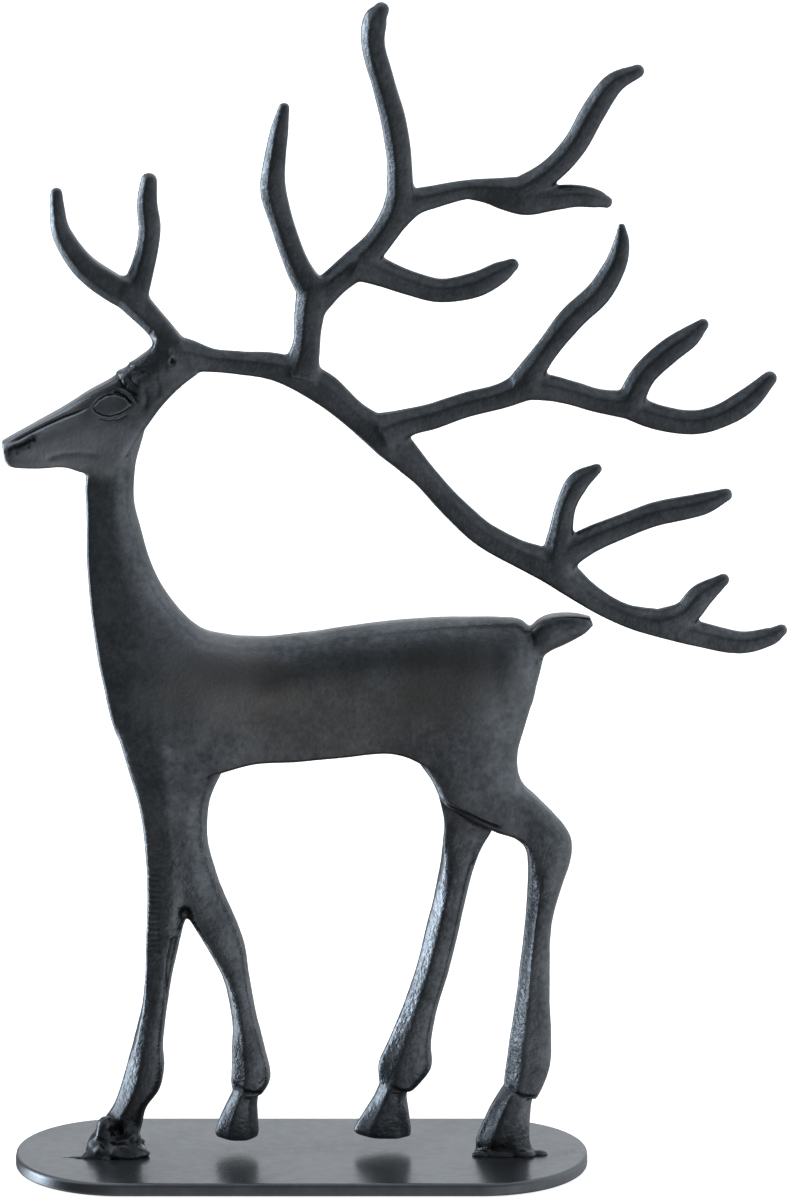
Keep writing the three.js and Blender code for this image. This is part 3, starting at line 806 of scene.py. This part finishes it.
        # Painted shade is laid in the creases, ribs and flash.
        return [
            *(Stroke(coronet, 1.9, 0.5, 0.95) for coronet in coronets),
            *(Stroke(rib, 1.4, 0.35, 0.45, Side.NEAR) for rib in ribs),
            Stroke(thigh, 1.9, 0.6, 0.95, Side.NEAR),
            Stroke(flash, 1.5, 0.5, 0.8, Side.NEAR),
            Stroke(((-44.5, 79.6), (-40.9, 80.8), (-38.2, 84.4)), 0.9, -0.5, 0.0, Side.NEAR),
        ]

    def dabs(self) -> list[Dab]:
        """A pressed hollow with painted shade where the forelegs part, and two beads of metal on the
        near one.
        """
        return [
            Dab((-38.2, -5, 88.6), 3.4, -1.2, 1.0),
            Dab((-17.2, -5, 68.6), 1.3, 0.35),
            Dab((-15.6, -5, 62), 0.9, 0.4),
        ]

    def build(self, mould: Mould) -> None:
        """Pours all four legs."""
        for leg in (self.near_foreleg(), self.far_foreleg(), self.near_hindleg(), self.far_hindleg()):
            leg.build(mould)


@dataclass
class Welds:
    """The lumps of weld that hold two feet to the plate, and the metal that ran beside one.

    A lump is its middle and its half sizes, (x, y, z, along x, along y, along z). The run of
    metal is a row of beads from its stations of (x, y, half width).
    """

    front: Table = (
        (-62, -1, 5, 10.5, 8.5, 2.8), (-60, -6.4, 5.4, 9.6, 4.6, 2.4),
        (-68.4, -3.2, 7.0, 3.2, 4.4, 4.6), (-66.0, -6.4, 6.4, 4.4, 3.4, 3.0),
        (-61, -7.2, 7.0, 5.4, 3.0, 2.6), (-56.2, -4.2, 8.6, 2.6, 3.6, 5.6),
        (-65.4, -3.8, 12.2, 3.4, 3.0, 5.4), (-58.2, -4, 13.4, 2.8, 2.6, 4.6),
        (-54, -5.6, 5.4, 2.6, 2.6, 1.8), (-61, 8.2, 5.2, 8.6, 2.6, 1.9),
        (-70.6, -7.2, 5, 2.6, 2.4, 1.5),
    )
    rear: Table = (
        (68, -1, 4.5, 10.6, 7.2, 1.1), (60.4, -6.0, 4.8, 3.8, 2.0, 1.5),
        (67.2, -7.0, 4.8, 5.0, 1.7, 1.5), (73.8, -6.6, 4.9, 4.2, 1.9, 1.8),
        (79.0, -4.4, 4.7, 3.4, 1.9, 1.3),
    )
    run: Table = (
        (-80.4, -8.4, 0.4), (-76.4, -8, 0.6), (-72.8, -8.6, 0.9), (-69, -9.4, 1.0),
        (-64.6, -10.4, 1.1),
    )
    run_steps: int = 6
    bead_length: float = 1.5
    bead_flatness: float = 0.8

    def build(self, mould: Mould) -> None:
        """Pours both welds and the thin run of metal on the plate."""
        for x, y, z, *reach in (*self.front, *self.rear):
            mould.lump((x, y, z), reach)
        for x, y, width in smooth_rows(self.run, self.run_steps):
            bead = (self.bead_length, width, width * self.bead_flatness)
            mould.lump((x, y, PLATE_TOP), bead)

    def dabs(self) -> list[Dab]:
        """The hollows that the weld left open round the foot, and one bead beside them."""
        # The hollows get painted shade; the bead gets a little black.
        return [
            Dab((-61.5, -7, 11.8), 3.8, -2.2, 1.0),
            Dab((-56.6, -7.5, 6.4), 2.4, -0.9, 0.9),
            Dab((-66, -9, 9.6), 2.0, -0.8, 0.9),
            Dab((-62.5, -10, 5.8), 1.8, 0.6, 0.3),
        ]


@dataclass
class StagCasting:
    """The whole stag, poured in one piece and finished by hand."""

    voxel: float = 0.55 * MM
    most_triangles: int = 192_000
    face_corner: Place = (-49.0, 0.0, 240.0)
    head: Head = field(default_factory=Head)
    torso: Torso = field(default_factory=Torso)
    legs: Legs = field(default_factory=Legs)
    antlers: Antlers = field(default_factory=Antlers)
    welds: Welds = field(default_factory=Welds)
    hoof_height: float = 24.0
    fetlock_height: float = 34.0
    belly_height: float = 112.0
    crown_height: float = 198.0
    poll_place: float = -46.0
    rump_place: float = 97.0
    fork: Spot = Spot((-42, -6, 108), (20, 14, 38))
    tail_root: Spot = Spot((77, -2, 175), (9, 14, 9))
    throat: Spot = Spot((-53, -8, 243), (15, 40, 17))
    front_foot: Spot = Spot((-63, -6, 9), (12, 8, 12))
    shoulder: Spot = Spot((-40, -8, 130), (26, 40, 34))
    breast: Spot = Spot((-56, -8, 143), (10, 40, 14))
    haunch: Spot = Spot((60, -8, 138), (30, 40, 36))
    front_weld: Spot = Spot((-62, -6, 9), (14, 9, 9))
    brow: Spot = Spot((-52, 0, 272), (14, 14, 11))

    def build(self) -> bpy.types.Object:
        """Pours, fuses and carves the stag.

        Returns:
            The finished piece, named stag_casting.
        """
        mould = Mould()
        for part in (self.head, self.torso, self.legs, self.antlers, self.welds):
            part.build(mould)
            log.info("poured %s", type(part).__name__.lower())
        fused = mould.fuse("stag_casting", self.voxel, 2)
        self.refine(fused)
        skin = Skin(fused)
        log.info("fused skin has %d points", len(skin.points))
        self.even_joins(skin)
        strokes = [*self.head.strokes(), *self.torso.strokes(), *self.legs.strokes()]
        skin.carve(strokes, [*self.head.dabs(), *self.legs.dabs(), *self.welds.dabs()])
        coarse = self.coarse_share(skin)
        self.roughen(skin, coarse)
        # Keeps the painted shade of the cut lines and dabs.
        skin.keep(GROOVE_SHADE_ATTRIBUTE, skin.black)
        skin.keep(COARSE_ATTRIBUTE, coarse)
        return self.trim(skin.mesh)

    def even_joins(self, skin: Skin) -> None:
        """Fills the corners where limbs meet, and evens the side faces round them."""
        skin.fill_creases(20, skin.above(self.fetlock_height))
        skin.fill_creases(30, skin.around(self.fork))
        skin.fill_creases(30, skin.around(self.tail_root))
        skin.fill_ledges(100, skin.around(self.throat))
        skin.fill_creases(15, skin.around(self.front_foot))
        skin.fill_ledges(150, skin.around(self.shoulder))
        skin.fill_ledges(60, skin.around(self.breast), inward=True)
        skin.fill_ledges(150, skin.around(self.haunch))

    def coarse_share(self, skin: Skin) -> np.ndarray:
        """How coarse the casting is: most on the legs and brow, least on the trunk."""
        legs = (1 - skin.above(self.belly_height)) * (0.4 + 0.6 * skin.above(self.hoof_height))
        crowns = skin.above(self.crown_height) * skin.above(self.poll_place, axis=0)
        antlers = np.maximum(crowns, skin.above(self.rump_place, axis=0))
        return 0.4 + 0.6 * np.maximum.reduce([legs, antlers * 0.3, skin.around(self.brow)])

    def roughen(self, skin: Skin, coarse: np.ndarray) -> None:
        """Crumples the front weld, and gives the whole skin its swell and sand grain."""
        skin.ripple(3.2, 1.2, 5.3, skin.around(self.front_weld))
        skin.ripple(9.0, 0.16, 3.1, np.ones(len(coarse)))
        skin.ripple(2.6, 0.05, 11.7, coarse)
        skin.ripple(1.3, 0.04, 23.3, coarse)
        skin.write()

    def refine(self, mesh: bpy.types.Mesh) -> None:
        """Splits the faces of the head's near side, so that fine lines can be cut there."""
        work = bmesh.new()
        work.from_mesh(mesh)
        bmesh.ops.triangulate(work, faces=work.faces)
        corner = Vector(self.face_corner) * MM
        edges = {
            edge
            for face in work.faces
            if face.normal.y < -0.5
            for edge in face.edges
            if face.calc_center_median().x < corner.x and face.calc_center_median().z > corner.z
        }
        bmesh.ops.subdivide_edges(work, edges=list(edges), cuts=1)
        bmesh.ops.triangulate(work, faces=work.faces)
        work.to_mesh(mesh)
        work.free()

    def trim(self, mesh: bpy.types.Mesh) -> bpy.types.Object:
        """Thins the mesh where it is flat, to stay within its triangles."""
        carrier = put_in_scene("stag_untrimmed", mesh)
        mesh.calc_loop_triangles()
        thin = carrier.modifiers.new("thin", "DECIMATE")
        thin.ratio = min(1.0, self.most_triangles / len(mesh.loop_triangles))
        trimmed = settle(carrier, "stag_casting")
        trimmed.shade_smooth()
        return put_in_scene("stag_casting", trimmed)


@dataclass
class BasePlate:
    """The thin oval plate, with its rounded rim."""

    length: float = 191.0
    width: float = 76.0
    thickness: float = PLATE_TOP
    corner_radius: float = 36.0
    corner_steps: int = 40
    rim_radius: float = 1.3
    rim_steps: int = 4

    def build(self) -> bpy.types.Object:
        """Makes the plate.

        Returns:
            The finished piece, named iron_plate.
        """
        plate = bmesh.new()
        bmesh.ops.create_cube(plate, size=1.0)
        size = Vector((self.length, self.width, self.thickness)) * MM
        bmesh.ops.scale(plate, vec=size, verts=plate.verts)
        bmesh.ops.translate(plate, vec=(0.0, 0.0, size.z / 2), verts=plate.verts)
        upright = [edge for edge in plate.edges if self.rise(edge) > MM]
        self.round_off(plate, upright, self.corner_radius, self.corner_steps)
        rim = [
            edge
            for edge in plate.edges
            if self.rise(edge) < MM / 10
            and len(edge.link_faces) == 2
            and edge.calc_face_angle() > math.radians(60)
        ]
        self.round_off(plate, rim, self.rim_radius, self.rim_steps)
        mesh = make_mesh("iron_plate", plate)
        mesh.shade_smooth()
        piece = put_in_scene("iron_plate", mesh)
        piece.modifiers.new("even_shading", "WEIGHTED_NORMAL").keep_sharp = True
        return piece

    @staticmethod
    def rise(edge: bmesh.types.BMEdge) -> float:
        """How far an edge climbs, in metres."""
        return abs(edge.verts[0].co.z - edge.verts[1].co.z)

    @staticmethod
    def round_off(
        plate: bmesh.types.BMesh, edges: list[bmesh.types.BMEdge], radius: float, steps: int
    ) -> None:
        """Rounds some edges to a radius in millimetres."""
        bmesh.ops.bevel(
            plate,
            geom=edges,
            offset=radius * MM,
            offset_type="OFFSET",
            segments=steps,
            profile=0.5,
            affect="EDGES",
            material=-1,
        )


class Socket(Enum):
    """The kinds of socket that a node group has."""

    VALUE = "NodeSocketFloat"
    VECTOR = "NodeSocketVector"
    COLOR = "NodeSocketColor"


class Wiring:
    """Places nodes in one tree and links their sockets."""

    def __init__(self, tree: bpy.types.NodeTree) -> None:
        """Keeps the tree that is wired."""
        self.tree = tree

    def feed(self, socket: bpy.types.NodeSocket, value: object) -> None:
        """Links a socket to the one that feeds it, or sets its value."""
        if isinstance(value, bpy.types.NodeSocket):
            self.tree.links.new(value, socket)
        else:
            socket.default_value = value

    def node(self, kind: str, feeds: dict | None = None, **settings: object) -> bpy.types.Node:
        """Adds a node.

        Args:
            kind: The node's type name, without its ShaderNode start.
            feeds: What goes into each input, by name or number: a socket or a value.
            settings: Properties of the node.

        Returns:
            The node.
        """
        made = self.tree.nodes.new("ShaderNode" + kind)
        for name, value in settings.items():
            setattr(made, name, value)
        for key, value in (feeds or {}).items():
            self.feed(made.inputs[key], value)
        return made

    def math(self, operation: str, first: object, second: object = 0.0) -> object:
        """The result of one sum on two values or sockets."""
        return self.node("Math", {0: first, 1: second}, operation=operation).outputs[0]

    def times(self, first: object, second: object) -> object:
        """The product of two values or sockets."""
        return self.math("MULTIPLY", first, second)

    def remap(
        self, value: object, low: float, high: float, to_low: float = 0.0, to_high: float = 1.0
    ) -> object:
        """A value's place between low and high, clamped and laid between two others."""
        feeds = {"Value": value, "From Min": low, "From Max": high}
        feeds |= {"To Min": to_low, "To Max": to_high}
        return self.node("MapRange", feeds, clamp=True).outputs["Result"]

    def clouds(
        self, place: object, scale: object, detail: float = 2.0, roughness: float = 0.5
    ) -> object:
        """The value of a cloudy pattern at each place."""
        feeds = {"Vector": place, "Scale": scale, "Detail": detail, "Roughness": roughness}
        return self.node("TexNoise", feeds).outputs["Fac"]

    def blend(self, share: object, first: object, second: object, mode: str = "MIX") -> object:
        """Two colours mixed by a share."""
        made = self.node("Mix", data_type="RGBA", blend_type=mode)
        named = {socket.identifier: socket for socket in made.inputs}
        self.feed(named["Factor_Float"], share)
        self.feed(named["A_Color"], first)
        self.feed(named["B_Color"], second)
        return {socket.identifier: socket for socket in made.outputs}["Result_Color"]


class Group(Wiring):
    """A shader node group, with its named inputs and outputs."""

    def __init__(
        self, name: str, inputs: dict[str, tuple[Socket, object]], outputs: dict[str, Socket]
    ) -> None:
        """Starts the group.

        Args:
            name: Name of the group.
            inputs: Kind and first value of each input, by its name.
            outputs: Kind of each output, by its name.
        """
        super().__init__(bpy.data.node_groups.new(name, "ShaderNodeTree"))
        for label, (kind, value) in inputs.items():
            made = self.tree.interface.new_socket(label, in_out="INPUT", socket_type=kind.value)
            if value is not None:
                made.default_value = value
        for label, kind in outputs.items():
            self.tree.interface.new_socket(label, in_out="OUTPUT", socket_type=kind.value)
        self.given = self.tree.nodes.new("NodeGroupInput").outputs
        self.result = self.tree.nodes.new("NodeGroupOutput").inputs


class Effects:
    """The surface effects that the two iron finishes share, each a node group."""

    def __init__(self) -> None:
        """Builds the groups once."""
        self.grain = self.cast_grain()
        self.mottle = self.mottled_black()
        self.patch = self.soft_patch()
        self.ridge_and_crease = self.ridge_lift_crease_shade()

    def cast_grain(self) -> bpy.types.NodeTree:
        """The fine sand grain and scattered pits of a casting, as a height and a pit mask."""
        inputs = {
            "Position": (Socket.VECTOR, None),
            "Scale": (Socket.VALUE, 1000.0),
            "Pitting": (Socket.VALUE, 0.5),
        }
        group = Group("cast_grain", inputs, {"Height": Socket.VALUE, "Pits": Socket.VALUE})
        position, scale = group.given["Position"], group.given["Scale"]
        sand = group.clouds(position, scale, 1.0, 0.4)
        swell = group.clouds(position, group.times(scale, 0.22))
        cells = group.node("TexVoronoi", {"Vector": position, "Scale": group.times(scale, 0.4)})
        holes = group.remap(cells.outputs["Distance"], 0.06, 0.22, 1.0, 0.0)
        where = group.remap(group.clouds(position, group.times(scale, 0.07)), 0.56, 0.7)
        pits = group.times(group.times(holes, where), group.given["Pitting"])
        rough = group.math("ADD", sand, group.times(swell, 0.8))
        group.feed(group.result["Height"], group.math("SUBTRACT", rough, pits))
        group.feed(group.result["Pits"], pits)
        return group.tree

    def mottled_black(self) -> bpy.types.NodeTree:
        """Cloudy black that is thinner in some places, as a colour and its mask."""
        inputs = {
            "Position": (Socket.VECTOR, None),
            "Scale": (Socket.VALUE, 60.0),
            "Deep": (Socket.COLOR, (0.01, 0.01, 0.01, 1.0)),
            "Thin": (Socket.COLOR, (0.05, 0.05, 0.05, 1.0)),
        }
        group = Group("mottled_black", inputs, {"Color": Socket.COLOR, "Mask": Socket.VALUE})
        position, scale = group.given["Position"], group.given["Scale"]
        clouds = group.clouds(position, scale, 5.0, 0.65)
        specks = group.clouds(position, group.times(scale, 9.0), 3.0)
        both = group.math("ADD", group.times(clouds, 0.6), group.times(specks, 0.4))
        mask = group.remap(both, 0.4, 0.6)
        color = group.blend(mask, group.given["Deep"], group.given["Thin"])
        group.feed(group.result["Color"], color)
        group.feed(group.result["Mask"], mask)
        return group.tree

    def soft_patch(self) -> bpy.types.NodeTree:
        """A cloudy patch round one place: 1 at its middle and 0 outside its reach."""
        inputs = {
            "Position": (Socket.VECTOR, None),
            "Center": (Socket.VECTOR, (0.0, 0.0, 0.0)),
            "Reach": (Socket.VECTOR, (0.1, 0.1, 0.1)),
        }
        group = Group("soft_patch", inputs, {"Mask": Socket.VALUE})
        feeds = {0: group.given["Position"], 1: group.given["Center"]}
        away = group.node("VectorMath", feeds, operation="SUBTRACT").outputs[0]
        feeds = {0: away, 1: group.given["Reach"]}
        share = group.node("VectorMath", feeds, operation="DIVIDE").outputs[0]
        length = group.node("VectorMath", {0: share}, operation="LENGTH").outputs["Value"]
        torn = group.times(group.clouds(group.given["Position"], 90.0, 4.0), 0.9)
        edge = group.math("ADD", length, group.math("SUBTRACT", torn, 0.45))
        group.feed(group.result["Mask"], group.remap(edge, 0.45, 1.0, 1.0, 0.0))
        return group.tree

    def ridge_lift_crease_shade(self) -> bpy.types.NodeTree:
        """Masks from pointiness: the sharp ridges, which are made lighter, and the creases, which get
        painted shade.
        """
        inputs = {"Spread": (Socket.VALUE, 0.06)}
        group = Group("ridge_lift_crease_shade", inputs, {"Ridge": Socket.VALUE, "CreaseShade": Socket.VALUE})
        bend = group.math("SUBTRACT", group.node("NewGeometry").outputs["Pointiness"], 0.5)
        share = group.math("DIVIDE", bend, group.given["Spread"])
        group.feed(group.result["Ridge"], group.remap(share, 0.25, 1.2))
        group.feed(group.result["CreaseShade"], group.remap(share, -0.25, -1.2))
        return group.tree


# Darkest black: painted shade in the cut lines, and the own black of the rear weld.
GROOVE_SHADE_AND_WELD_BLACK = (0.004, 0.0045, 0.005, 1.0)
# The welds' own black, also used as painted shade at the tail's root.
WELD_BLACK_AND_ROOT_SHADE = (0.012, 0.013, 0.015, 1.0)
DEEP_BLACK = (0.022, 0.025, 0.028, 1.0)
# A lighter black: painted light on the shoulder and the near hind leg, and a lighter face and haunch.
LIGHTER_BLACK = (0.135, 0.144, 0.155, 1.0)
BROWN_BLACK = (0.030, 0.029, 0.028, 1.0)
BARE_BROWN = (0.064, 0.058, 0.053, 1.0)


@dataclass(frozen=True)
class Patch:
    """A place where the black has another tone: its middle and reach, in metres."""

    center: Place
    reach: Place
    color: Color
    strength: float


@dataclass(frozen=True)
class BlackIron:
    """Satin black over cast iron: its tones, its gloss and its grain."""

    name: str
    deep: Color
    thin: Color
    ridge_tone: Color
    roughness: Point
    metallic: float
    mottle_scale: float
    grain_scale: float
    grain_depth: float
    pitting: float
    patches: tuple[Patch, ...] = ()
    carved: bool = False
    ridge_lift: float = 0.5
    crease_shade: float = 0.8

    def tone(self, wire: Wiring, effects: Effects, mottle: object, position: object) -> object:
        """The black with its patches, lighter on the ridges and darkened with painted shade in the
        creases.

        Args:
            wire: The material's wiring.
            effects: The shared node groups.
            mottle: The cloudy black to start from.
            position: Where each point lies.

        Returns:
            The socket with the colour.
        """
        color = mottle
        for patch in self.patches:
            feeds = {"Position": position, "Center": patch.center, "Reach": patch.reach}
            mask = wire.node("Group", feeds, node_tree=effects.patch).outputs["Mask"]
            color = wire.blend(wire.times(mask, patch.strength), color, patch.color)
        ridge_and_crease = wire.node("Group", node_tree=effects.ridge_and_crease)
        # Lighter on the sharp ridges.
        color = wire.blend(wire.times(ridge_and_crease.outputs["Ridge"], self.ridge_lift), color, self.ridge_tone)
        # Painted shade in the creases.
        return wire.blend(wire.times(ridge_and_crease.outputs["CreaseShade"], self.crease_shade), color, self.deep)

    def material(self, effects: Effects) -> bpy.types.Material:
        """Builds the material.

        Args:
            effects: The shared node groups.

        Returns:
            The material, under the finish's name.
        """
        material = bpy.data.materials.new(self.name)
        material.use_nodes = True
        wire = Wiring(material.node_tree)
        shader = material.node_tree.nodes["Principled BSDF"]
        position = wire.node("TexCoord").outputs["Object"]
        feeds = {"Position": position, "Scale": self.mottle_scale}
        feeds |= {"Deep": self.deep, "Thin": self.thin}
        mottle = wire.node("Group", feeds, node_tree=effects.mottle)
        feeds = {"Position": position, "Scale": self.grain_scale, "Pitting": self.pitting}
        grain = wire.node("Group", feeds, node_tree=effects.grain)
        color = self.tone(wire, effects, mottle.outputs["Color"], position)
        # Painted shade in the sand pits.
        color = wire.blend(grain.outputs["Pits"], color, self.deep)
        height = grain.outputs["Height"]
        if self.carved:
            # Painted shade laid in the cut lines, pits and hollows of the carving.
            held = wire.node("Attribute", attribute_name=GROOVE_SHADE_ATTRIBUTE).outputs["Fac"]
            color = wire.blend(wire.remap(held, 0.12, 0.75), color, GROOVE_SHADE_AND_WELD_BLACK)
            coarse = wire.node("Attribute", attribute_name=COARSE_ATTRIBUTE).outputs["Fac"]
            height = wire.times(height, coarse)
        glossy, matt = self.roughness
        bump = wire.node("Bump", {"Height": height, "Distance": self.grain_depth})
        wire.feed(shader.inputs["Base Color"], color)
        roughness = wire.remap(mottle.outputs["Mask"], 0.0, 1.0, matt, glossy)
        wire.feed(shader.inputs["Roughness"], roughness)
        wire.feed(shader.inputs["Normal"], bump.outputs["Normal"])
        shader.inputs["Metallic"].default_value = self.metallic
        return material


STAG_IRON = BlackIron(
    name="stag_iron",
    deep=(0.027, 0.031, 0.036, 1.0),
    thin=(0.064, 0.070, 0.077, 1.0),
    ridge_tone=(0.11, 0.12, 0.13, 1.0),
    roughness=(0.25, 0.35),
    metallic=0.75,
    mottle_scale=55.0,
    grain_scale=900.0,
    grain_depth=0.00019,
    pitting=0.3,
    patches=(
        Patch((0.062, 0.0, 0.300), (0.200, 0.1, 0.150), DEEP_BLACK, 0.5),
        Patch((0.005, 0.0, 0.158), (0.060, 0.1, 0.022), BARE_BROWN, 0.35),
        Patch((-0.022, 0.0, 0.169), (0.028, 0.1, 0.016), BARE_BROWN, 0.55),
        Patch((0.050, 0.0, 0.168), (0.030, 0.1, 0.018), BROWN_BLACK, 0.7),
        Patch((-0.047, 0.0, 0.268), (0.013, 0.1, 0.014), DEEP_BLACK, 0.5),
        # Painted light: the shoulder made lighter.
        Patch((-0.034, 0.0, 0.168), (0.026, 0.1, 0.026), LIGHTER_BLACK, 0.25),
        Patch((-0.080, 0.0, 0.248), (0.032, 0.1, 0.018), LIGHTER_BLACK, 0.9),
        Patch((0.068, 0.0, 0.155), (0.018, 0.1, 0.035), LIGHTER_BLACK, 0.12),
        # Painted light: the near hind leg made lighter, for the highlight that it misses.
        Patch((0.0705, 0.0, 0.070), (0.0085, 0.1, 0.056), LIGHTER_BLACK, 0.8),
        # Painted shade at the root of the tail, where it meets the rump.
        Patch((0.0775, 0.0, 0.183), (0.0055, 0.1, 0.008), WELD_BLACK_AND_ROOT_SHADE, 0.6),
        Patch((-0.060, 0.0, 0.030), (0.020, 0.1, 0.034), DEEP_BLACK, 0.7),
        Patch((-0.0615, 0.0, 0.010), (0.022, 0.05, 0.022), WELD_BLACK_AND_ROOT_SHADE, 0.9),
        Patch((0.068, 0.0, 0.004), (0.022, 0.05, 0.008), GROOVE_SHADE_AND_WELD_BLACK, 0.95),
    ),
    carved=True,
)

PLATE_IRON = BlackIron(
    name="plate_iron",
    deep=(0.042, 0.045, 0.049, 1.0),
    thin=(0.056, 0.059, 0.064, 1.0),
    ridge_tone=(0.13, 0.14, 0.15, 1.0),
    roughness=(0.22, 0.28),
    metallic=0.75,
    mottle_scale=30.0,
    grain_scale=1200.0,
    grain_depth=0.00002,
    pitting=0.05,
    patches=(
        Patch((0.0882, -0.003, 0.0045), (0.0012, 0.0032, 0.002), WELD_BLACK_AND_ROOT_SHADE, 0.8),
        Patch((0.0905, -0.0015, 0.0045), (0.0010, 0.0030, 0.002), WELD_BLACK_AND_ROOT_SHADE, 0.7),
    ),
)


@dataclass(frozen=True)
class Glow:
    """One soft area of the studio's surroundings.

    The bearing is in degrees from the camera's side, clockwise seen from below, so that
    +X is at 90, and the height is in degrees above the level.
    """

    bearing: float
    height: float
    tightness: float
    strength: float
    color: Color

    def toward(self) -> Place:
        """The direction that it lies in."""
        bearing, height = math.radians(self.bearing), math.radians(self.height)
        level = math.cos(height)
        return (math.sin(bearing) * level, -math.cos(bearing) * level, math.sin(height))


COOL = (0.90, 0.95, 1.0, 1.0)
WINDOW = (0.80, 0.90, 1.0, 1.0)
WARM = (1.0, 0.95, 0.90, 1.0)


@dataclass
class Studio:
    """A pale floor, soft lights and the camera at the photograph's angle."""

    camera_place: Place = (0.030866, -2.37518, 0.73265)
    camera_tilt: float = math.radians(90 - 12.795)
    sensor: float = 36.0
    focal_pixels: float = 7408.12
    frame_pixels: float = 1200.0
    floor_reach: float = 12.0
    floor_drop: float = 0.0002
    paper: Color = (0.5, 0.5, 0.5, 1.0)
    paper_glow: float = 0.8
    ambient: Color = (0.076, 0.079, 0.082, 1.0)
    glows: tuple[Glow, ...] = (
        Glow(-98, -6, 40.0, 22.0, WINDOW),
        Glow(-102, 14, 30.0, 16.0, WINDOW),
        Glow(-112, -28, 20.0, 8.0, WINDOW),
        Glow(-85, 45, 20.0, 1.8, WINDOW),
        Glow(95, 5, 3.0, 1.9, COOL),
        Glow(45, -22, 8.0, 0.6, COOL),
        Glow(170, 72, 3.5, 2.0, COOL),
        Glow(180, 12, 20.0, 0.80, COOL),
        Glow(20, -16, 7.0, 0.75, COOL),
        Glow(10, -65, 4.0, 0.75, WARM),
    )

    def build(self) -> None:
        """Sets the whole studio."""
        self.floor()
        self.sky()
        self.camera()
        bpy.context.scene.view_settings.view_transform = "Standard"

    def floor(self) -> None:
        """A wide pale floor that runs out of view."""
        ground = bmesh.new()
        bmesh.ops.create_grid(ground, x_segments=1, y_segments=1, size=self.floor_reach)
        bmesh.ops.translate(ground, vec=(0.0, 0.0, -self.floor_drop), verts=ground.verts)
        piece = put_in_scene("floor", make_mesh("floor", ground))
        piece.visible_glossy = False
        piece.visible_diffuse = False
        material = bpy.data.materials.new("studio_paper")
        material.use_nodes = True
        inputs = material.node_tree.nodes["Principled BSDF"].inputs
        inputs["Base Color"].default_value = self.paper
        inputs["Roughness"].default_value = 0.9
        inputs["Specular IOR Level"].default_value = 0.0
        inputs["Emission Color"].default_value = (1.0, 1.0, 1.0, 1.0)
        inputs["Emission Strength"].default_value = self.paper_glow
        piece.data.materials.append(material)

    @staticmethod
    def soft_glow() -> bpy.types.NodeTree:
        """One soft area of light, brightest toward its own direction."""
        inputs = {
            "Toward": (Socket.VECTOR, (0.0, 0.0, 1.0)),
            "Tightness": (Socket.VALUE, 4.0),
            "Strength": (Socket.VALUE, 1.0),
            "Color": (Socket.COLOR, (1.0, 1.0, 1.0, 1.0)),
        }
        group = Group("soft_glow", inputs, {"Light": Socket.COLOR})
        feeds = {0: group.node("TexCoord").outputs["Generated"], 1: group.given["Toward"]}
        facing = group.node("VectorMath", feeds, operation="DOT_PRODUCT").outputs["Value"]
        off = group.times(group.math("SUBTRACT", facing, 1.0), group.given["Tightness"])
        level = group.times(group.math("EXPONENT", off), group.given["Strength"])
        feeds = {0: group.given["Color"], "Scale": level}
        light = group.node("VectorMath", feeds, operation="SCALE").outputs[0]
        group.feed(group.result["Light"], light)
        return group.tree

    def sky(self) -> None:
        """Surroundings of soft glows on an even ground tone."""
        soft_glow = self.soft_glow()
        world = bpy.data.worlds.new("studio_sky")
        world.use_nodes = True
        wire = Wiring(world.node_tree)
        light: object = self.ambient
        for glow in self.glows:
            feeds = {"Toward": glow.toward(), "Tightness": glow.tightness}
            feeds |= {"Strength": glow.strength, "Color": glow.color}
            placed = wire.node("Group", feeds, node_tree=soft_glow)
            light = wire.blend(1.0, light, placed.outputs["Light"], "ADD")
        wire.feed(world.node_tree.nodes["Background"].inputs["Color"], light)
        bpy.context.scene.world = world

    def camera(self) -> None:
        """Stands the camera where the photograph was taken from."""
        data = bpy.data.cameras.new("camera")
        data.sensor_width = self.sensor
        data.lens = self.sensor * self.focal_pixels / self.frame_pixels
        data.clip_end = 50.0
        camera = put_in_scene("camera", data)
        camera.location = self.camera_place
        camera.rotation_euler = (self.camera_tilt, 0.0, 0.0)
        bpy.context.scene.camera = camera


def main() -> None:
    """Builds the stag, its plate and the studio."""
    logging.basicConfig(level=logging.INFO, format="%(message)s")
    effects = Effects()
    stag = StagCasting().build()
    stag.data.materials.append(STAG_IRON.material(effects))
    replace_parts(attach(stag, "root"), "stag")
    plate = BasePlate().build()
    plate.data.materials.append(PLATE_IRON.material(effects))
    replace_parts(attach(plate, "root"), "base_plate")
    for piece in (stag, plate):
        log.info("%s has %d faces", piece.name, len(piece.data.polygons))
    Studio().build()


if __name__ == "__main__":
    main()
